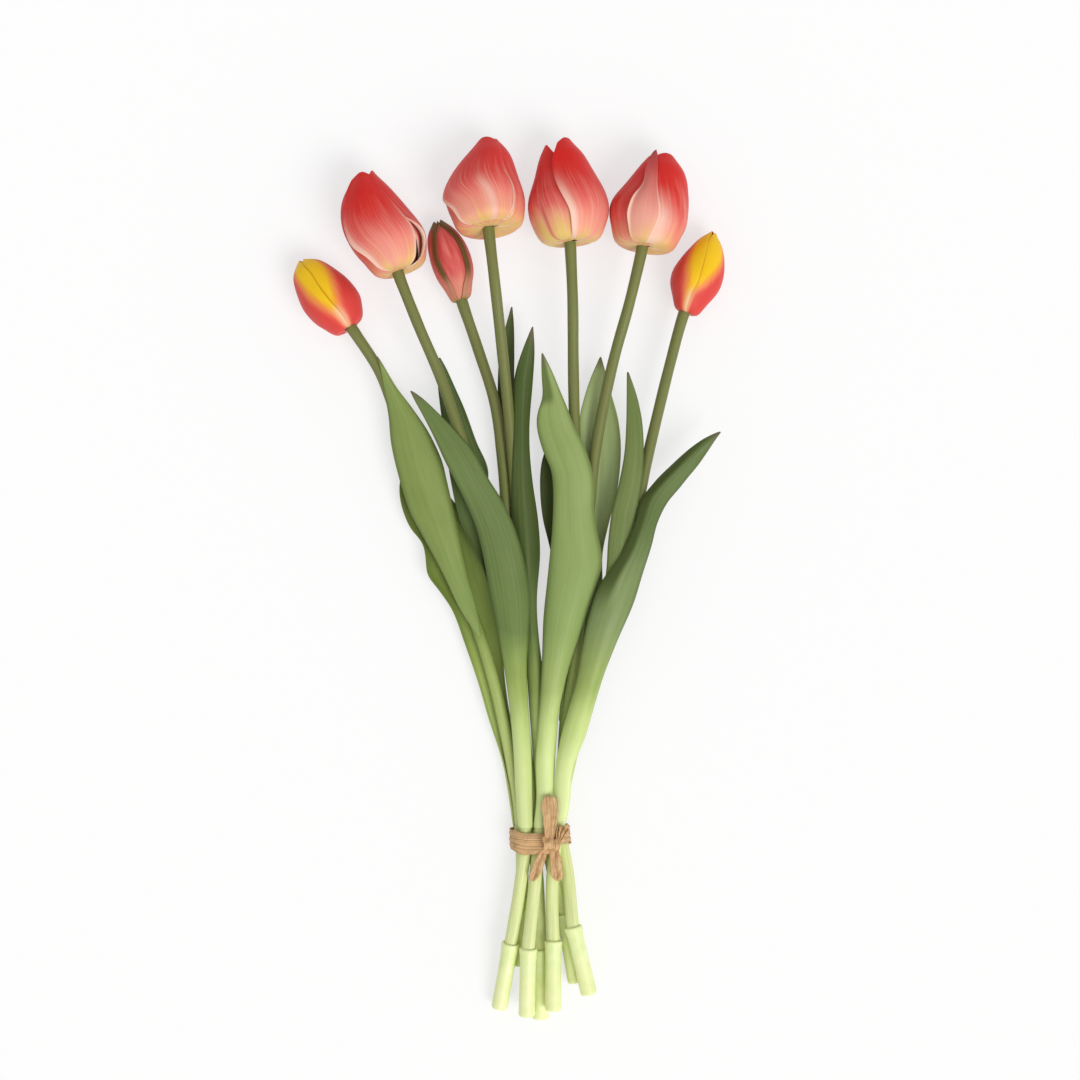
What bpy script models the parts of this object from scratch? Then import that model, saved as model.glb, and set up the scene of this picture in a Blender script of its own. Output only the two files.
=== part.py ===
"""Hand-tied bunch of seven artificial tulips, lying on its back with the flowers towards +Y.

Four open flowers, two half-open buds and one tight bud. Each has a moulded stem over a steel
wire, a turned foot, and leaves that clasp the stem. A flat raffia tie holds the bunch.
"""
import math
from collections import namedtuple

import bmesh
import bpy
import numpy as np
from mathutils import Matrix, Vector

MM = 0.001

# Main sizes. The fan runs from the tie up to the highest flower. Its stems and leaves are laid out below
# for the drawn reach and the drawn flower, and spread with the real ones
FLOWER_LENGTH = 57 * MM
FLOWER_DIAMETER = 45 * MM
BUD_LENGTH = 47 * MM
BUD_DIAMETER = 29 * MM
FAN_REACH = 331 * MM
DRAWN_REACH = 331 * MM
DRAWN_DIAMETER = 45 * MM

# Stems, wires and feet
STEM_DIAMETER_FOOT = 6.6 * MM
STEM_DIAMETER_HEAD = 5.8 * MM
STEM_WALL = 1.6 * MM
WIRE_DIAMETER = 1.8 * MM
WIRE_REACH = 8 * MM
FOOT_LENGTH = 38 * MM
FOOT_DIAMETER = 9 * MM
FOOT_CHAMFER = 0.6 * MM
LIP_DIAMETER = 10.2 * MM
LIP_WIDTH = 2.4 * MM
SOCKET_DEPTH = 14 * MM
SEAT_GAP = 0.3 * MM
STEM_NECK = 3 * MM
RING_STEP = 31.3 * MM
STEM_RINGS = 1 + round((FAN_REACH + 2 * FOOT_LENGTH) / RING_STEP)

# Tie
TIE_X = 17 * MM
TIE_Y = -140 * MM
TIE_HOLD = 150 * MM
STEM_GAP = 0.4 * MM
TIE_SLACK = 0.7 * MM
RAFFIA_THICKNESS = 0.9 * MM
RAFFIA_WIDTH = 4 * MM
RAFFIA_TURNS = 2
TURN_GAP = 0.6 * MM
KNOT_SIZE = Vector((9, 8, 4.2)) * MM
KNOT_X = 21.5 * MM
LOOP_LENGTH = 22 * MM
LOOP_WIDTH = 6.5 * MM
LOOP_RISE = 3 * MM
TAIL_LENGTH = 17 * MM
TAIL_WIDTH = 5 * MM

# Leaves
LEAF_THICKNESS = 0.8 * MM
LEAF_TIP_WIDTH = 1.2 * MM
SHEATH_GAP = 0.9 * MM
SHEATH_WRAP = 125
LEAF_STEPS = 11
LEAF_STRIPS = 5

# Flowers and buds
OUTER_PETALS = ("front", "left", "right")
PETAL_THICKNESS = 0.8 * MM
PETAL_OVERLAP = 1.8 * MM
WHORL_INSET = 2.6 * MM
PETAL_STEPS = 7
PETAL_STRIPS = 5
PETAL_SPREAD = 68
CORE_GAP = 0.5 * MM
HEAD_SIDES = 15

LOWER_ROW = RAFFIA_THICKNESS + TIE_SLACK + STEM_DIAMETER_FOOT / 2
UPPER_ROW = LOWER_ROW + STEM_DIAMETER_FOOT + STEM_GAP

# Share of a flower's length, and share of its radius there
FLOWER_OUTLINE = [(0, 0), (0.05, 0.5), (0.16, 0.82), (0.36, 1), (0.62, 0.96), (0.85, 0.74), (1, 0.46)]
BUD_OUTLINE = [(0, 0), (0.06, 0.4), (0.2, 0.82), (0.4, 1), (0.65, 0.85), (0.87, 0.45), (1, 0.06)]

# A head's heading is in degrees left of +Y, and its pitch in degrees down towards its tip
Head = namedtuple("Head", "kind length diameter heading pitch turn")

# Knots are (x, y, height above the stem's row in the tie), in millimetres, from the foot up
Stem = namedtuple("Stem", "row foot_end foot_top knots base head")

STEMS = {
    1: Stem(LOWER_ROW, (7, -210, 0.4), (6.8, -175, 0.4),
            [(6.5, -140, 0), (0.5, -95, 0.8), (-13, -38, 3.2), (-32, 12, 5.5), (-49, 56, 7.2), (-72, 118, 9)],
            (-86, 139), Head("half_open_bud", BUD_LENGTH * 45.5 / 47, BUD_DIAMETER, 35, 5, 90)),
    2: Stem(UPPER_ROW, (-5.5, -233, -6.4), (1.4, -193, 1.35),
            [(8, -152, 0.6), (8.7, -140, 0), (7.5, -105, 0.5), (5, -69, 1.2), (-1.5, -15, 2.6),
             (-12.5, 34, 4.4), (-25.5, 77, 6.4), (-38.5, 115, 8.8)],
            (-60, 168), Head("flower", FLOWER_LENGTH, FLOWER_DIAMETER * 43 / 45, 17, 8, 10)),
    3: Stem(LOWER_ROW, (17, -239, 0.4), (17, -198, 0.4),
            [(13.5, -140, 0), (10.5, -107, 0.2), (5, -50, 1.2), (-0.5, 12, 2.8), (-2, 45, 3.8),
             (-4, 70, 4.6), (-9, 103, 5.6), (-18, 130, 6)],
            (-26, 154), Head("tight_bud", BUD_LENGTH * 45.5 / 47, BUD_DIAMETER * 21 / 29, 17, 4, 90)),
    4: Stem(LOWER_ROW, (36.5, -219, 0.4), (29.5, -179, 0.4),
            [(23, -154, 0), (20.6, -140, 0), (16, -74, 1.5), (12.5, -31, 3.2), (8, 12, 5), (4, 45, 6.9),
             (1.5, 73, 9), (-2, 110, 14)],
            (-11, 191), Head("flower", FLOWER_LENGTH * 53 / 57, FLOWER_DIAMETER, 7, 16, -14)),
    5: Stem(UPPER_ROW, (9.5, -236, 0.5), (10.5, -196, 5.8),
            [(14.5, -160, 1.5), (16.3, -140, 0), (20.6, -107, 0.5), (24, -63, 1.6), (29.5, -25, 2.8),
             (34, 12, 4), (36, 56, 5.6), (35, 103, 7.6)],
            (33, 184), Head("flower", FLOWER_LENGTH * 56 / 57, FLOWER_DIAMETER * 43.5 / 45, 4, 6, 24)),
    6: Stem(LOWER_ROW, (43.5, -224, 8.2), (35, -188, 9.9),
            [(31.5, -156, 2.6), (27.6, -140, 0), (29, -107, 0.5), (31, -74, 1.6), (36, -42, 2.8),
             (40.5, 2, 4.8), (44, 45, 7.8), (47.5, 76, 11.4), (56, 118, 15.6)],
            (72, 181.5), Head("flower", FLOWER_LENGTH * 53 / 57, FLOWER_DIAMETER * 42 / 45, -10, 9, -22)),
    7: Stem(UPPER_ROW, (24, -233, 1.4), (24, -194, 1.4),
            [(23.3, -154, 0.7), (25.5, -140, 0), (31, -107, 1), (39.5, -72, 2.4), (49, -39, 3.6),
             (60, 2, 4.8), (67, 29, 5.4), (76, 72, 5.6), (85, 109, 4.6)],
            (95.5, 148), Head("half_open_bud", BUD_LENGTH, BUD_DIAMETER * 27 / 29, -19, 4, 90)),
}

# A leaf's stations are (x, y, lift off its stem, half width, half angle of its channel), in
# millimetres and degrees, from the sheath up. Side +1 lies over the stem and -1 under it.
Leaf = namedtuple("Leaf", "stem side layer base sheath stations tip")

LEAVES = {
    "leaf_1_front": Leaf(1, 1, 1, -32, 10, [
        (-27, -7, 0, 7, 60), (-35, 18, 0.5, 9.5, 42), (-41, 35, 0.5, 10.5, 38), (-48.5, 58, 0.5, 12, 34),
        (-55, 83, 0.5, 9.5, 32), (-62, 99, 0, 4.5, 30)], (-70.5, 117, 0)),
    "leaf_1_sheath": Leaf(1, -1, 1, -112, 24, [
        (-7, -63, -0.3, 7, 66), (-15, -36, -0.8, 10, 50), (-25, -8, -1.2, 11.5, 38), (-32, 12, -1.8, 14, 30),
        (-38, 30, -2, 15.5, 26), (-45, 47, -2.5, 11.5, 26)], (-50, 74, -3.5)),
    "leaf_2_front": Leaf(2, 1, 1, -112, 30, [
        (5, -48, 0.2, 7, 66), (1, -19, 0.6, 11, 46), (-2.5, 0, 0.8, 12.5, 38), (-6, 20, 0.8, 11, 34),
        (-12, 38, 0.8, 9.8, 32), (-21, 57, 1.6, 9, 28), (-31, 75, 2, 6.8, 28), (-43, 92, 1, 4, 28)],
        (-53, 104, 0)),
    "leaf_2_back": Leaf(2, -1, 1, -6, 8, [
        (-9, 20, -0.6, 7.5, 46), (-16, 45, -2, 9.6, 30), (-22.5, 72, -4, 11, 26), (-29.5, 99, -6.5, 6.5, 26)],
        (-38, 122, -9)),
    "leaf_3_back": Leaf(3, -1, 1.2, -21, 6, [
        (1, 8, -2, 5.4, 40), (-0.5, 45, -2.4, 5.6, 30), (-2.5, 99, -3, 5.4, 24), (-1, 131, -3.5, 3.6, 24)],
        (1, 150, -4)),
    "leaf_4_front": Leaf(4, 1, 1, -66, 14, [
        (12.5, -26, 0, 5, 75), (10.5, 12, 0.6, 7, 46), (8.5, 41, 1.6, 7, 34), (7.5, 72, 1.6, 4.8, 30),
        (8.2, 97, -1.6, 4.8, 32), (9, 119, -4.5, 4.2, 30)], (13, 138, -8)),
    "leaf_5_front": Leaf(5, 1, 1, -112, 30, [
        (25.5, -42, 0.2, 7, 66), (30, -18, 0.4, 10.2, 50), (34, 0, 0.8, 12.6, 42), (36.5, 15, 1, 14, 38),
        (35.5, 32, 1.2, 12.6, 36), (33, 55, 1.2, 11.8, 34), (29, 76, 1.8, 11.6, 32), (25, 95, 2.2, 8.4, 30),
        (22, 109, 1.2, 3.6, 30)], (18.5, 123, 0)),
    "leaf_5_back": Leaf(5, -1, 1, -16, 8, [
        (28.5, 12, -3.6, 6.4, 28), (25, 34, -4, 7.4, 24), (24, 56, -3.8, 6.6, 24)], (26, 82, -4)),
    "leaf_6_back": Leaf(6, -1, 1, -34, 10, [
        (43, -2, -0.3, 8.5, 46), (47.5, 34, -1.5, 12, 28), (49, 72, -5, 11.5, 24), (48, 99, -8.5, 7.5, 24)],
        (50, 123, -11)),
    "leaf_7_inner": Leaf(7, 1, 1, -14, 10, [
        (60, 12, 0.6, 6, 40), (63, 33, 1.8, 7, 32), (66.5, 55, 2.4, 6.2, 28), (67.5, 78, 1.4, 4.4, 26),
        (66.5, 101, -1, 3.2, 26)], (64.5, 113, -3)),
    "leaf_7_outer": Leaf(7, 1, 1.5, -106, 26, [
        (49, -39, 0.6, 7.6, 70), (59, -7, 3.4, 9.4, 40), (64.5, 11, 5.6, 8.4, 28), (71, 27, 5.6, 7.2, 26),
        (77, 42, 4, 5.8, 30), (84, 53, 1.4, 6.4, 36), (93, 63.5, 0.6, 5.4, 32), (103, 74, 0, 3.2, 30)],
        (114, 82, -1)),
}


def linear(hex_colour):
    """Linear RGBA of an sRGB colour written as hex digits."""
    parts = [int(hex_colour[i:i + 2], 16) / 255 for i in (0, 2, 4)]
    parts = [p / 12.92 if p <= 0.04045 else ((p + 0.055) / 1.055) ** 2.4 for p in parts]
    return (*parts, 1)


def new_material(name, hex_colour, roughness, metallic=0):
    material = bpy.data.materials.new(name)
    material.use_nodes = True
    shader = material.node_tree.nodes["Principled BSDF"]
    shader.inputs["Base Color"].default_value = linear(hex_colour)
    shader.inputs["Roughness"].default_value = roughness
    shader.inputs["Metallic"].default_value = metallic
    material.diffuse_color = linear(hex_colour)
    return material


def add_part(name, mesh, colour, roughness, metallic=0):
    """A named object of the bunch with a material of its own."""
    part = bpy.data.objects.new(name, mesh)
    PARTS.objects.link(part)
    part.parent = ORIGIN
    mesh.materials.append(new_material(name, colour, roughness, metallic))
    mesh.shade_smooth()
    mesh.set_sharp_from_angle(angle=math.radians(50))
    return part


def smooth(rows, count, start=None, end=None):
    """Rows spaced evenly along a smooth curve through the given rows; the first three are x, y, z."""
    rows = np.array(rows, float)
    gaps = np.linalg.norm(np.diff(rows[:, :3], axis=0), axis=1)
    marks = np.concatenate(([0], np.cumsum(gaps)))
    slopes = np.empty_like(rows)
    slopes[0] = (rows[1] - rows[0]) / gaps[0]
    slopes[-1] = (rows[-1] - rows[-2]) / gaps[-1]
    slopes[1:-1] = (rows[2:] - rows[:-2]) / (marks[2:] - marks[:-2])[:, None]
    if start is not None:
        slopes[0, :3] = start
    if end is not None:
        slopes[-1, :3] = end
    found = []
    for mark in np.linspace(0, marks[-1], count):
        i = min(int(np.searchsorted(marks, mark, side="right")) - 1, len(gaps) - 1)
        t = (mark - marks[i]) / gaps[i]
        rise = rows[i + 1] - rows[i]
        bend_in = gaps[i] * slopes[i] - rise
        bend_out = rise - gaps[i] * slopes[i + 1]
        found.append(rows[i] + t * rise + t * (1 - t) * ((1 - t) * bend_in + t * bend_out))
    return np.array(found)


def grid_mesh(name, rows, closed=False):
    """An open surface through rows of points, closed round each row if asked."""
    mesh = bmesh.new()
    lines = [[mesh.verts.new(point) for point in row] for row in rows]
    for lower, upper in zip(lines, lines[1:]):
        for i in range(len(lower) if closed else len(lower) - 1):
            j = (i + 1) % len(lower)
            mesh.faces.new((lower[i], lower[j], upper[j], upper[i]))
    data = bpy.data.meshes.new(name)
    mesh.to_mesh(data)
    mesh.free()
    return data


def thicken(part, thickness, offset):
    wall = part.modifiers.new("wall", "SOLIDIFY")
    wall.thickness = thickness
    wall.offset = offset
    wall.use_even_offset = True
    return part


def tube_mesh(name, points, radii, sides_level, caps):
    """A tube along the points, made from a bevelled curve."""
    curve = bpy.data.curves.new(name, "CURVE")
    curve.dimensions = "3D"
    curve.bevel_depth = 1
    curve.bevel_resolution = sides_level
    curve.use_fill_caps = caps
    spline = curve.splines.new("POLY")
    spline.points.add(len(points) - 1)
    for knot, point, radius in zip(spline.points, points, radii):
        knot.co = (*point, 1)
        knot.radius = radius
    guide = bpy.data.objects.new(name, curve)
    PARTS.objects.link(guide)
    graph = bpy.context.evaluated_depsgraph_get()
    data = bpy.data.meshes.new_from_object(guide.evaluated_get(graph))
    bpy.data.objects.remove(guide)
    mesh = bmesh.new()
    mesh.from_mesh(data)
    bmesh.ops.remove_doubles(mesh, verts=mesh.verts, dist=0.00001)
    mesh.to_mesh(data)
    mesh.free()
    return data


def turned(name, profile, sides, colour, roughness, place):
    """A solid turned round its own Z, from a profile that runs down its outer side."""
    data = bpy.data.meshes.new(name)
    edges = [(i, i + 1) for i in range(len(profile) - 1)]
    data.from_pydata([(r, 0, z) for r, z in profile], edges, [])
    part = add_part(name, data, colour, roughness)
    part.matrix_local = place
    screw = part.modifiers.new("turn", "SCREW")
    screw.steps = sides
    screw.render_steps = sides
    screw.use_merge_vertices = True
    screw.merge_threshold = 0.00001
    screw.use_smooth_shade = True
    return part


def along(origin, direction):
    """The frame at origin whose Z points along direction."""
    turn = Vector(direction).to_track_quat("Z", "Y").to_matrix().to_4x4()
    return Matrix.Translation(origin) @ turn


def outline(table, share):
    """Radius share of a head at a share of its length."""
    at = np.array([row[0] for row in table])
    rows = smooth([(s, r, 0) for s, r in table], 60)
    return float(np.interp(share, rows[:, 0], rows[:, 1])) if 0 < share < at[-1] else table[-1 if share else 0][1]


def spot(x, y):
    """A place of the layout in metres, and how much wider the fan is there than drawn. Its reach and its
    flowers spread it above the tie; the stems packed in the tie and the feet below it keep their places."""
    x, y = x * MM, y * MM
    share = min(max((y - TIE_Y) / TIE_HOLD, 0), 1) ** 2
    wider = (FLOWER_DIAMETER / DRAWN_DIAMETER - 1) * share
    longer = (FAN_REACH / DRAWN_REACH - 1) * share
    return x + (x - TIE_X) * wider, y + (y - TIE_Y) * longer, 1 + wider


def head_outline(head):
    return FLOWER_OUTLINE if head.kind == "flower" else BUD_OUTLINE


def head_axis(head):
    heading, pitch = math.radians(head.heading), math.radians(head.pitch)
    level = math.cos(pitch)
    return Vector((-math.sin(heading) * level, math.cos(heading) * level, -math.sin(pitch)))


def head_base(stem):
    """Where the head meets its stem, at the height at which the head rests on the table."""
    head = stem.head
    pitch = math.radians(head.pitch)
    reach = head.diameter / 2 + PETAL_OVERLAP / 2
    heights = [
        s * head.length * math.sin(pitch) + reach * outline(head_outline(head), s) * math.cos(pitch)
        for s in np.linspace(0, 1, 21)
    ]
    x, y, _ = spot(*stem.base)
    return Vector((x, y, max(heights) + SEAT_GAP))


def route_point(stem, knot):
    x, y, _ = spot(*knot[:2])
    return Vector((x, y, stem.row + knot[2] * MM))


def foot_axis(stem):
    """The foot's cut end and the direction from it up the stem."""
    end, top = (route_point(stem, knot) for knot in (stem.foot_end, stem.foot_top))
    return end, (top - end).normalized()


def stem_route(stem):
    """The stem's centreline, straight in its foot's socket and square to its head."""
    end, up = foot_axis(stem)
    base, axis = head_base(stem), head_axis(stem.head)
    knots = [route_point(stem, knot) for knot in stem.knots]
    first = end + up * FOOT_LENGTH
    neck = base - axis * (SEAT_GAP + STEM_NECK)
    bent = smooth([first, *knots, neck], STEM_RINGS, start=up, end=axis)
    seat = end + up * (FOOT_LENGTH - SOCKET_DEPTH + SEAT_GAP)
    return [seat, *(Vector(point) for point in bent), base - axis * SEAT_GAP]


def stem_at(number, y):
    """The centre of a stem at a given y, read from its route."""
    points = np.array(ROUTES[number])
    return Vector((np.interp(y, points[:, 1], points[:, 0]), y, np.interp(y, points[:, 1], points[:, 2])))


def stem_radius_at(number, y):
    points = np.array(ROUTES[number])
    share = np.interp(y, (points[0, 1], points[-1, 1]), (0, 1))
    return (STEM_DIAMETER_FOOT + share * (STEM_DIAMETER_HEAD - STEM_DIAMETER_FOOT)) / 2


def make_stem(number, stem):
    """Moulded stem with a bore, the wire in it, and the turned foot it plugs into."""
    route = ROUTES[number]
    radii = [stem_radius_at(number, point[1]) for point in route]
    data = tube_mesh(f"stem_{number}", route, radii, 2, False)
    tube = add_part(f"stem_{number}", data, "8FA552", 0.5)
    thicken(tube, STEM_WALL, -1)
    tip = head_base(stem) + head_axis(stem.head) * WIRE_REACH
    wire_points = [*route, tip]
    data = tube_mesh(f"wire_{number}", wire_points, [WIRE_DIAMETER / 2] * len(wire_points), 1, True)
    add_part(f"wire_{number}", data, "9A9C9E", 0.35, 1)
    make_foot(number, stem)


def make_foot(number, stem):
    """Turned foot: flat cut end, slim body, flared lip and a socket for the stem."""
    end, up = foot_axis(stem)
    body, lip = FOOT_DIAMETER / 2, LIP_DIAMETER / 2
    bore = stem_radius_at(number, end[1]) + SEAT_GAP
    floor = FOOT_LENGTH - SOCKET_DEPTH
    profile = [
        (0, floor),
        (bore, floor),
        (bore, FOOT_LENGTH),
        (lip - FOOT_CHAMFER, FOOT_LENGTH),
        (lip, FOOT_LENGTH - FOOT_CHAMFER),
        (lip, FOOT_LENGTH - LIP_WIDTH),
        (body, FOOT_LENGTH - 1.5 * LIP_WIDTH),
        (body, FOOT_CHAMFER),
        (body - FOOT_CHAMFER, 0),
        (0, 0),
    ]
    turned(f"foot_{number}", profile, 12, "DCEB9C", 0.45, along(end, up))


def leaf_rows(leaf):
    """Stations of a leaf in metres: its crown, half width and the half angle of its channel."""
    wrap = leaf.layer * (SHEATH_GAP + LEAF_THICKNESS) - LEAF_THICKNESS / 2
    rows = []
    for y, angle in ((leaf.base, SHEATH_WRAP), (leaf.base + leaf.sheath, SHEATH_WRAP * 0.8)):
        centre = stem_at(leaf.stem, spot(0, y)[1])
        radius = stem_radius_at(leaf.stem, centre.y) + wrap
        rows.append((centre.x, centre.y, centre.z + leaf.side * radius, radius, angle))
    for x, y, lift, half, angle in [*leaf.stations, (*leaf.tip, LEAF_TIP_WIDTH / 2 / MM, 28)]:
        x, y, wider = spot(x, y)
        crown = stem_at(leaf.stem, y).z + leaf.side * (stem_radius_at(leaf.stem, y) + wrap) + lift * MM
        rows.append((x, y, crown, half * wider * MM, angle))
    return rows


def make_leaf(name, leaf):
    """A leaf lofted from the sheath that clasps its stem to its narrow tip."""
    stations = smooth(leaf_rows(leaf), LEAF_STEPS)
    rows = []
    for i, (x, y, z, half, angle) in enumerate(stations):
        ahead = stations[min(i + 1, len(stations) - 1), :3] - stations[max(i - 1, 0), :3]
        across = Vector(ahead).cross(Vector((0, 0, 1))).normalized()
        out = across.cross(Vector(ahead)).normalized() * leaf.side
        bend = math.radians(max(angle, 1))
        radius = half / math.sin(min(bend, math.pi / 2))
        row = []
        for share in np.linspace(-1, 1, LEAF_STRIPS + 1):
            turn = share * bend
            row.append(Vector((x, y, z)) + across * radius * math.sin(turn) - out * radius * (1 - math.cos(turn)))
        rows.append(row)
    part = add_part(name, grid_mesh(name, rows), "7E9A4E", 0.5)
    thicken(part, LEAF_THICKNESS, 0)


def petal_width(share):
    """Half angle of a petal as a share of its widest, from its base to its rounded tip."""
    if share < 0.5:
        return 0.72 + 0.28 * math.sin(math.pi * share)
    return max(1 - ((share - 0.5) / 0.5) ** 2.6, 0.02)


def make_petal(name, stem, turn, colour):
    """One outer petal: it follows the flower's outline, and its edges lie over and under its neighbours'."""
    head = stem.head
    neck = WIRE_DIAMETER / 2 + SEAT_GAP + PETAL_THICKNESS
    rows = []
    for share in np.linspace(0, 1, PETAL_STEPS + 1):
        radius = neck + (head.diameter / 2 - neck) * outline(FLOWER_OUTLINE, share)
        spread = math.radians(PETAL_SPREAD) * petal_width(share)
        row = []
        for side in np.linspace(-1, 1, PETAL_STRIPS + 1):
            reach = radius + side * PETAL_OVERLAP / 2 * min(share * 6, 1)
            angle = math.radians(turn) + side * spread
            row.append((reach * math.cos(angle), reach * math.sin(angle), share * head.length))
        rows.append(row)
    part = add_part(name, grid_mesh(name, rows), colour, 0.45)
    part.matrix_local = along(head_base(stem), head_axis(head))
    thicken(part, PETAL_THICKNESS, -1)


def lobed_shell(name, stem, diameter, start, length, lobes, groove, colour):
    """A thin shell of three petals moulded in one, open at the neck for the wire."""
    head = stem.head
    neck = WIRE_DIAMETER / 2 + SEAT_GAP + PETAL_THICKNESS
    rows = []
    for share in np.linspace(0, 1, PETAL_STEPS):
        row = []
        for i in range(HEAD_SIDES):
            angle = 2 * math.pi * i / HEAD_SIDES
            swell = 1 - groove * (1 - abs(math.sin(1.5 * angle)))
            radius = neck + (diameter / 2 - neck) * outline(head_outline(head), share) * swell
            height = start + length * share * (1 - lobes * (1 - abs(math.sin(1.5 * angle))))
            row.append((radius * math.cos(angle), radius * math.sin(angle), height))
        rows.append(row)
    part = add_part(name, grid_mesh(name, rows, closed=True), colour, 0.45)
    part.matrix_local = along(head_base(stem), head_axis(head)) @ Matrix.Rotation(math.radians(head.turn), 4, "Z")
    thicken(part, PETAL_THICKNESS, -1)


def make_flower(number, stem):
    """Open flower: three overlapping outer petals round an inner whorl of three."""
    head = stem.head
    for i, side in enumerate(OUTER_PETALS):
        turn = head.turn + 90 + 360 * i / len(OUTER_PETALS)
        make_petal(f"flower_{number}_{side}_petal", stem, turn, "D94F45")
    inner = head.diameter - 2 * WHORL_INSET
    lobed_shell(f"flower_{number}_inner_petals", stem, inner, WHORL_INSET, head.length * 0.9, 0.08, 0.04, "C8352E")


def make_bud(number, stem):
    """Closed bud: a thin shell of petals round a foam core on the wire."""
    head = stem.head
    colour = "F0B429" if head.kind == "half_open_bud" else "C9605A"
    lobed_shell(f"bud_{number}_petals", stem, head.diameter, 0, head.length, 0, 0.07, colour)
    core = head.diameter / 2 - PETAL_THICKNESS - 2 * CORE_GAP
    bore = WIRE_DIAMETER / 2 + SEAT_GAP
    start, length = 6 * CORE_GAP, head.length * 0.8
    profile = [(0, start + length)]
    for share in (0.9, 0.75, 0.55, 0.35, 0.2):
        profile.append((core * 0.86 * outline(BUD_OUTLINE, share), start + length * share))
    profile += [(bore + core * 0.2, start), (bore, start), (bore, WIRE_REACH + SEAT_GAP), (0, WIRE_REACH + SEAT_GAP)]
    place = along(head_base(stem), head_axis(head))
    turned(f"bud_{number}_core", profile, 10, "E9E6DA", 0.8, place)


def bundle_edge(angle, y, reach):
    """The point of the bundle's outline that faces an angle, at a given y and distance off the stems."""
    facing = Vector((math.cos(angle), 0, math.sin(angle)))
    centres = [(stem_at(number, y), stem_radius_at(number, y)) for number in STEMS]
    centre, radius = max(centres, key=lambda item: item[0].dot(facing) + item[1])
    return centre + facing * (radius + reach)


def raffia_strip(name, rows, colour="A87B4C"):
    part = add_part(name, grid_mesh(name, rows), colour, 0.8)
    return thicken(part, RAFFIA_THICKNESS, 1)


def least_turn_gap(lines):
    """The least distance between points of the winding that are a turn or more apart."""
    steps = len(lines) // RAFFIA_TURNS - 1
    gaps = [
        (a[0] - b[-1]).length
        for i, a in enumerate(lines)
        for b in lines[:max(i - steps, 0)]
    ]
    return min(gaps)


def make_band():
    """The winding: one flat strip, wound round the stems in even turns."""
    pitch = RAFFIA_WIDTH + TURN_GAP
    start = math.radians(90 + 20)
    sweep = RAFFIA_TURNS * 2 * math.pi - math.radians(40)
    rows = []
    for share in np.linspace(0, 1, RAFFIA_TURNS * 24 + 1):
        angle = start + share * sweep
        y = TIE_Y - pitch * RAFFIA_TURNS / 2 + pitch * sweep * share / (2 * math.pi)
        edges = (y + RAFFIA_WIDTH / 2, y - RAFFIA_WIDTH / 2)
        rows.append([bundle_edge(angle, edge, TIE_SLACK) for edge in edges])
    raffia_strip("raffia_band", [row[::-1] for row in rows])
    print(f"raffia_band: least gap between turns {least_turn_gap([row[::-1] for row in rows]) / MM:.2f} mm")


def bundle_top(x, y):
    """Height of the highest stem surface near a point of the bunch."""
    heights = []
    for number in STEMS:
        centre, radius = stem_at(number, y), stem_radius_at(number, y)
        if abs(centre.x - x) < radius + TAIL_WIDTH / 2:
            heights.append(centre.z + radius)
    return max(heights)


def make_knot():
    """The knot over the band, the loop drawn up from it and the two tails below it."""
    top = bundle_edge(math.pi / 2, TIE_Y, TIE_SLACK + RAFFIA_THICKNESS).z + SEAT_GAP
    data = bpy.data.meshes.new("raffia_knot")
    mesh = bmesh.new()
    bmesh.ops.create_cube(mesh, size=1)
    bmesh.ops.scale(mesh, vec=KNOT_SIZE, verts=mesh.verts)
    mesh.to_mesh(data)
    mesh.free()
    knot = add_part("raffia_knot", data, "9C6E42", 0.85)
    knot.location = (KNOT_X, TIE_Y, top + KNOT_SIZE.z / 2)
    round_off = knot.modifiers.new("round", "SUBSURF")
    round_off.levels = 2
    round_off.render_levels = 2
    make_loop(top)
    make_tail("raffia_tail_left", -0.38, top)
    make_tail("raffia_tail_right", 0.22, top)


def make_loop(top):
    """A strip that runs up from the knot, folds over and comes back on itself."""
    near = TIE_Y + KNOT_SIZE.y / 2 + SEAT_GAP
    rise = LOOP_RISE / 2
    path = [(near, 0), (near + LOOP_LENGTH * 0.45, 0)]
    for turn in range(0, 181, 30):
        bend = math.radians(turn)
        path.append((near + LOOP_LENGTH - rise + rise * math.sin(bend), rise * (1 - math.cos(bend))))
    path += [(near + LOOP_LENGTH * 0.45, 2.1 * rise), (near, 1.7 * rise)]
    rows = []
    for y, z in path:
        rows.append([(KNOT_X + side * LOOP_WIDTH / 2, y, top + SEAT_GAP + z) for side in (-1, 1)])
    raffia_strip("raffia_loop", rows)


def make_tail(name, slope, top):
    """A loose end that runs down over the stems from the knot."""
    near = TIE_Y - KNOT_SIZE.y / 2 - SEAT_GAP
    rows = []
    for share in np.linspace(0, 1, 5):
        y = near - share * TAIL_LENGTH
        x = KNOT_X + slope * (near - y) + math.copysign(TAIL_WIDTH / 2 + SEAT_GAP, slope)
        height = max(top, bundle_top(x, y) + SEAT_GAP) + 1.2 * MM * math.sin(math.pi * share)
        rows.append([(x + side * TAIL_WIDTH / 2, y, height) for side in (1, -1)])
    raffia_strip(name, rows)


def stand_at_origin():
    """Moves the bunch so that the centre of its base is the world origin."""
    bpy.context.view_layer.update()
    graph = bpy.context.evaluated_depsgraph_get()
    points = []
    for part in PARTS.objects:
        if part.type == "MESH":
            solid = part.evaluated_get(graph)
            points += [solid.matrix_world @ vertex.co for vertex in solid.to_mesh().vertices]
            solid.to_mesh_clear()
    low = [min(point[i] for point in points) for i in range(3)]
    high = [max(point[i] for point in points) for i in range(3)]
    ORIGIN.location = (-(low[0] + high[0]) / 2, -(low[1] + high[1]) / 2, -low[2])


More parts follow.
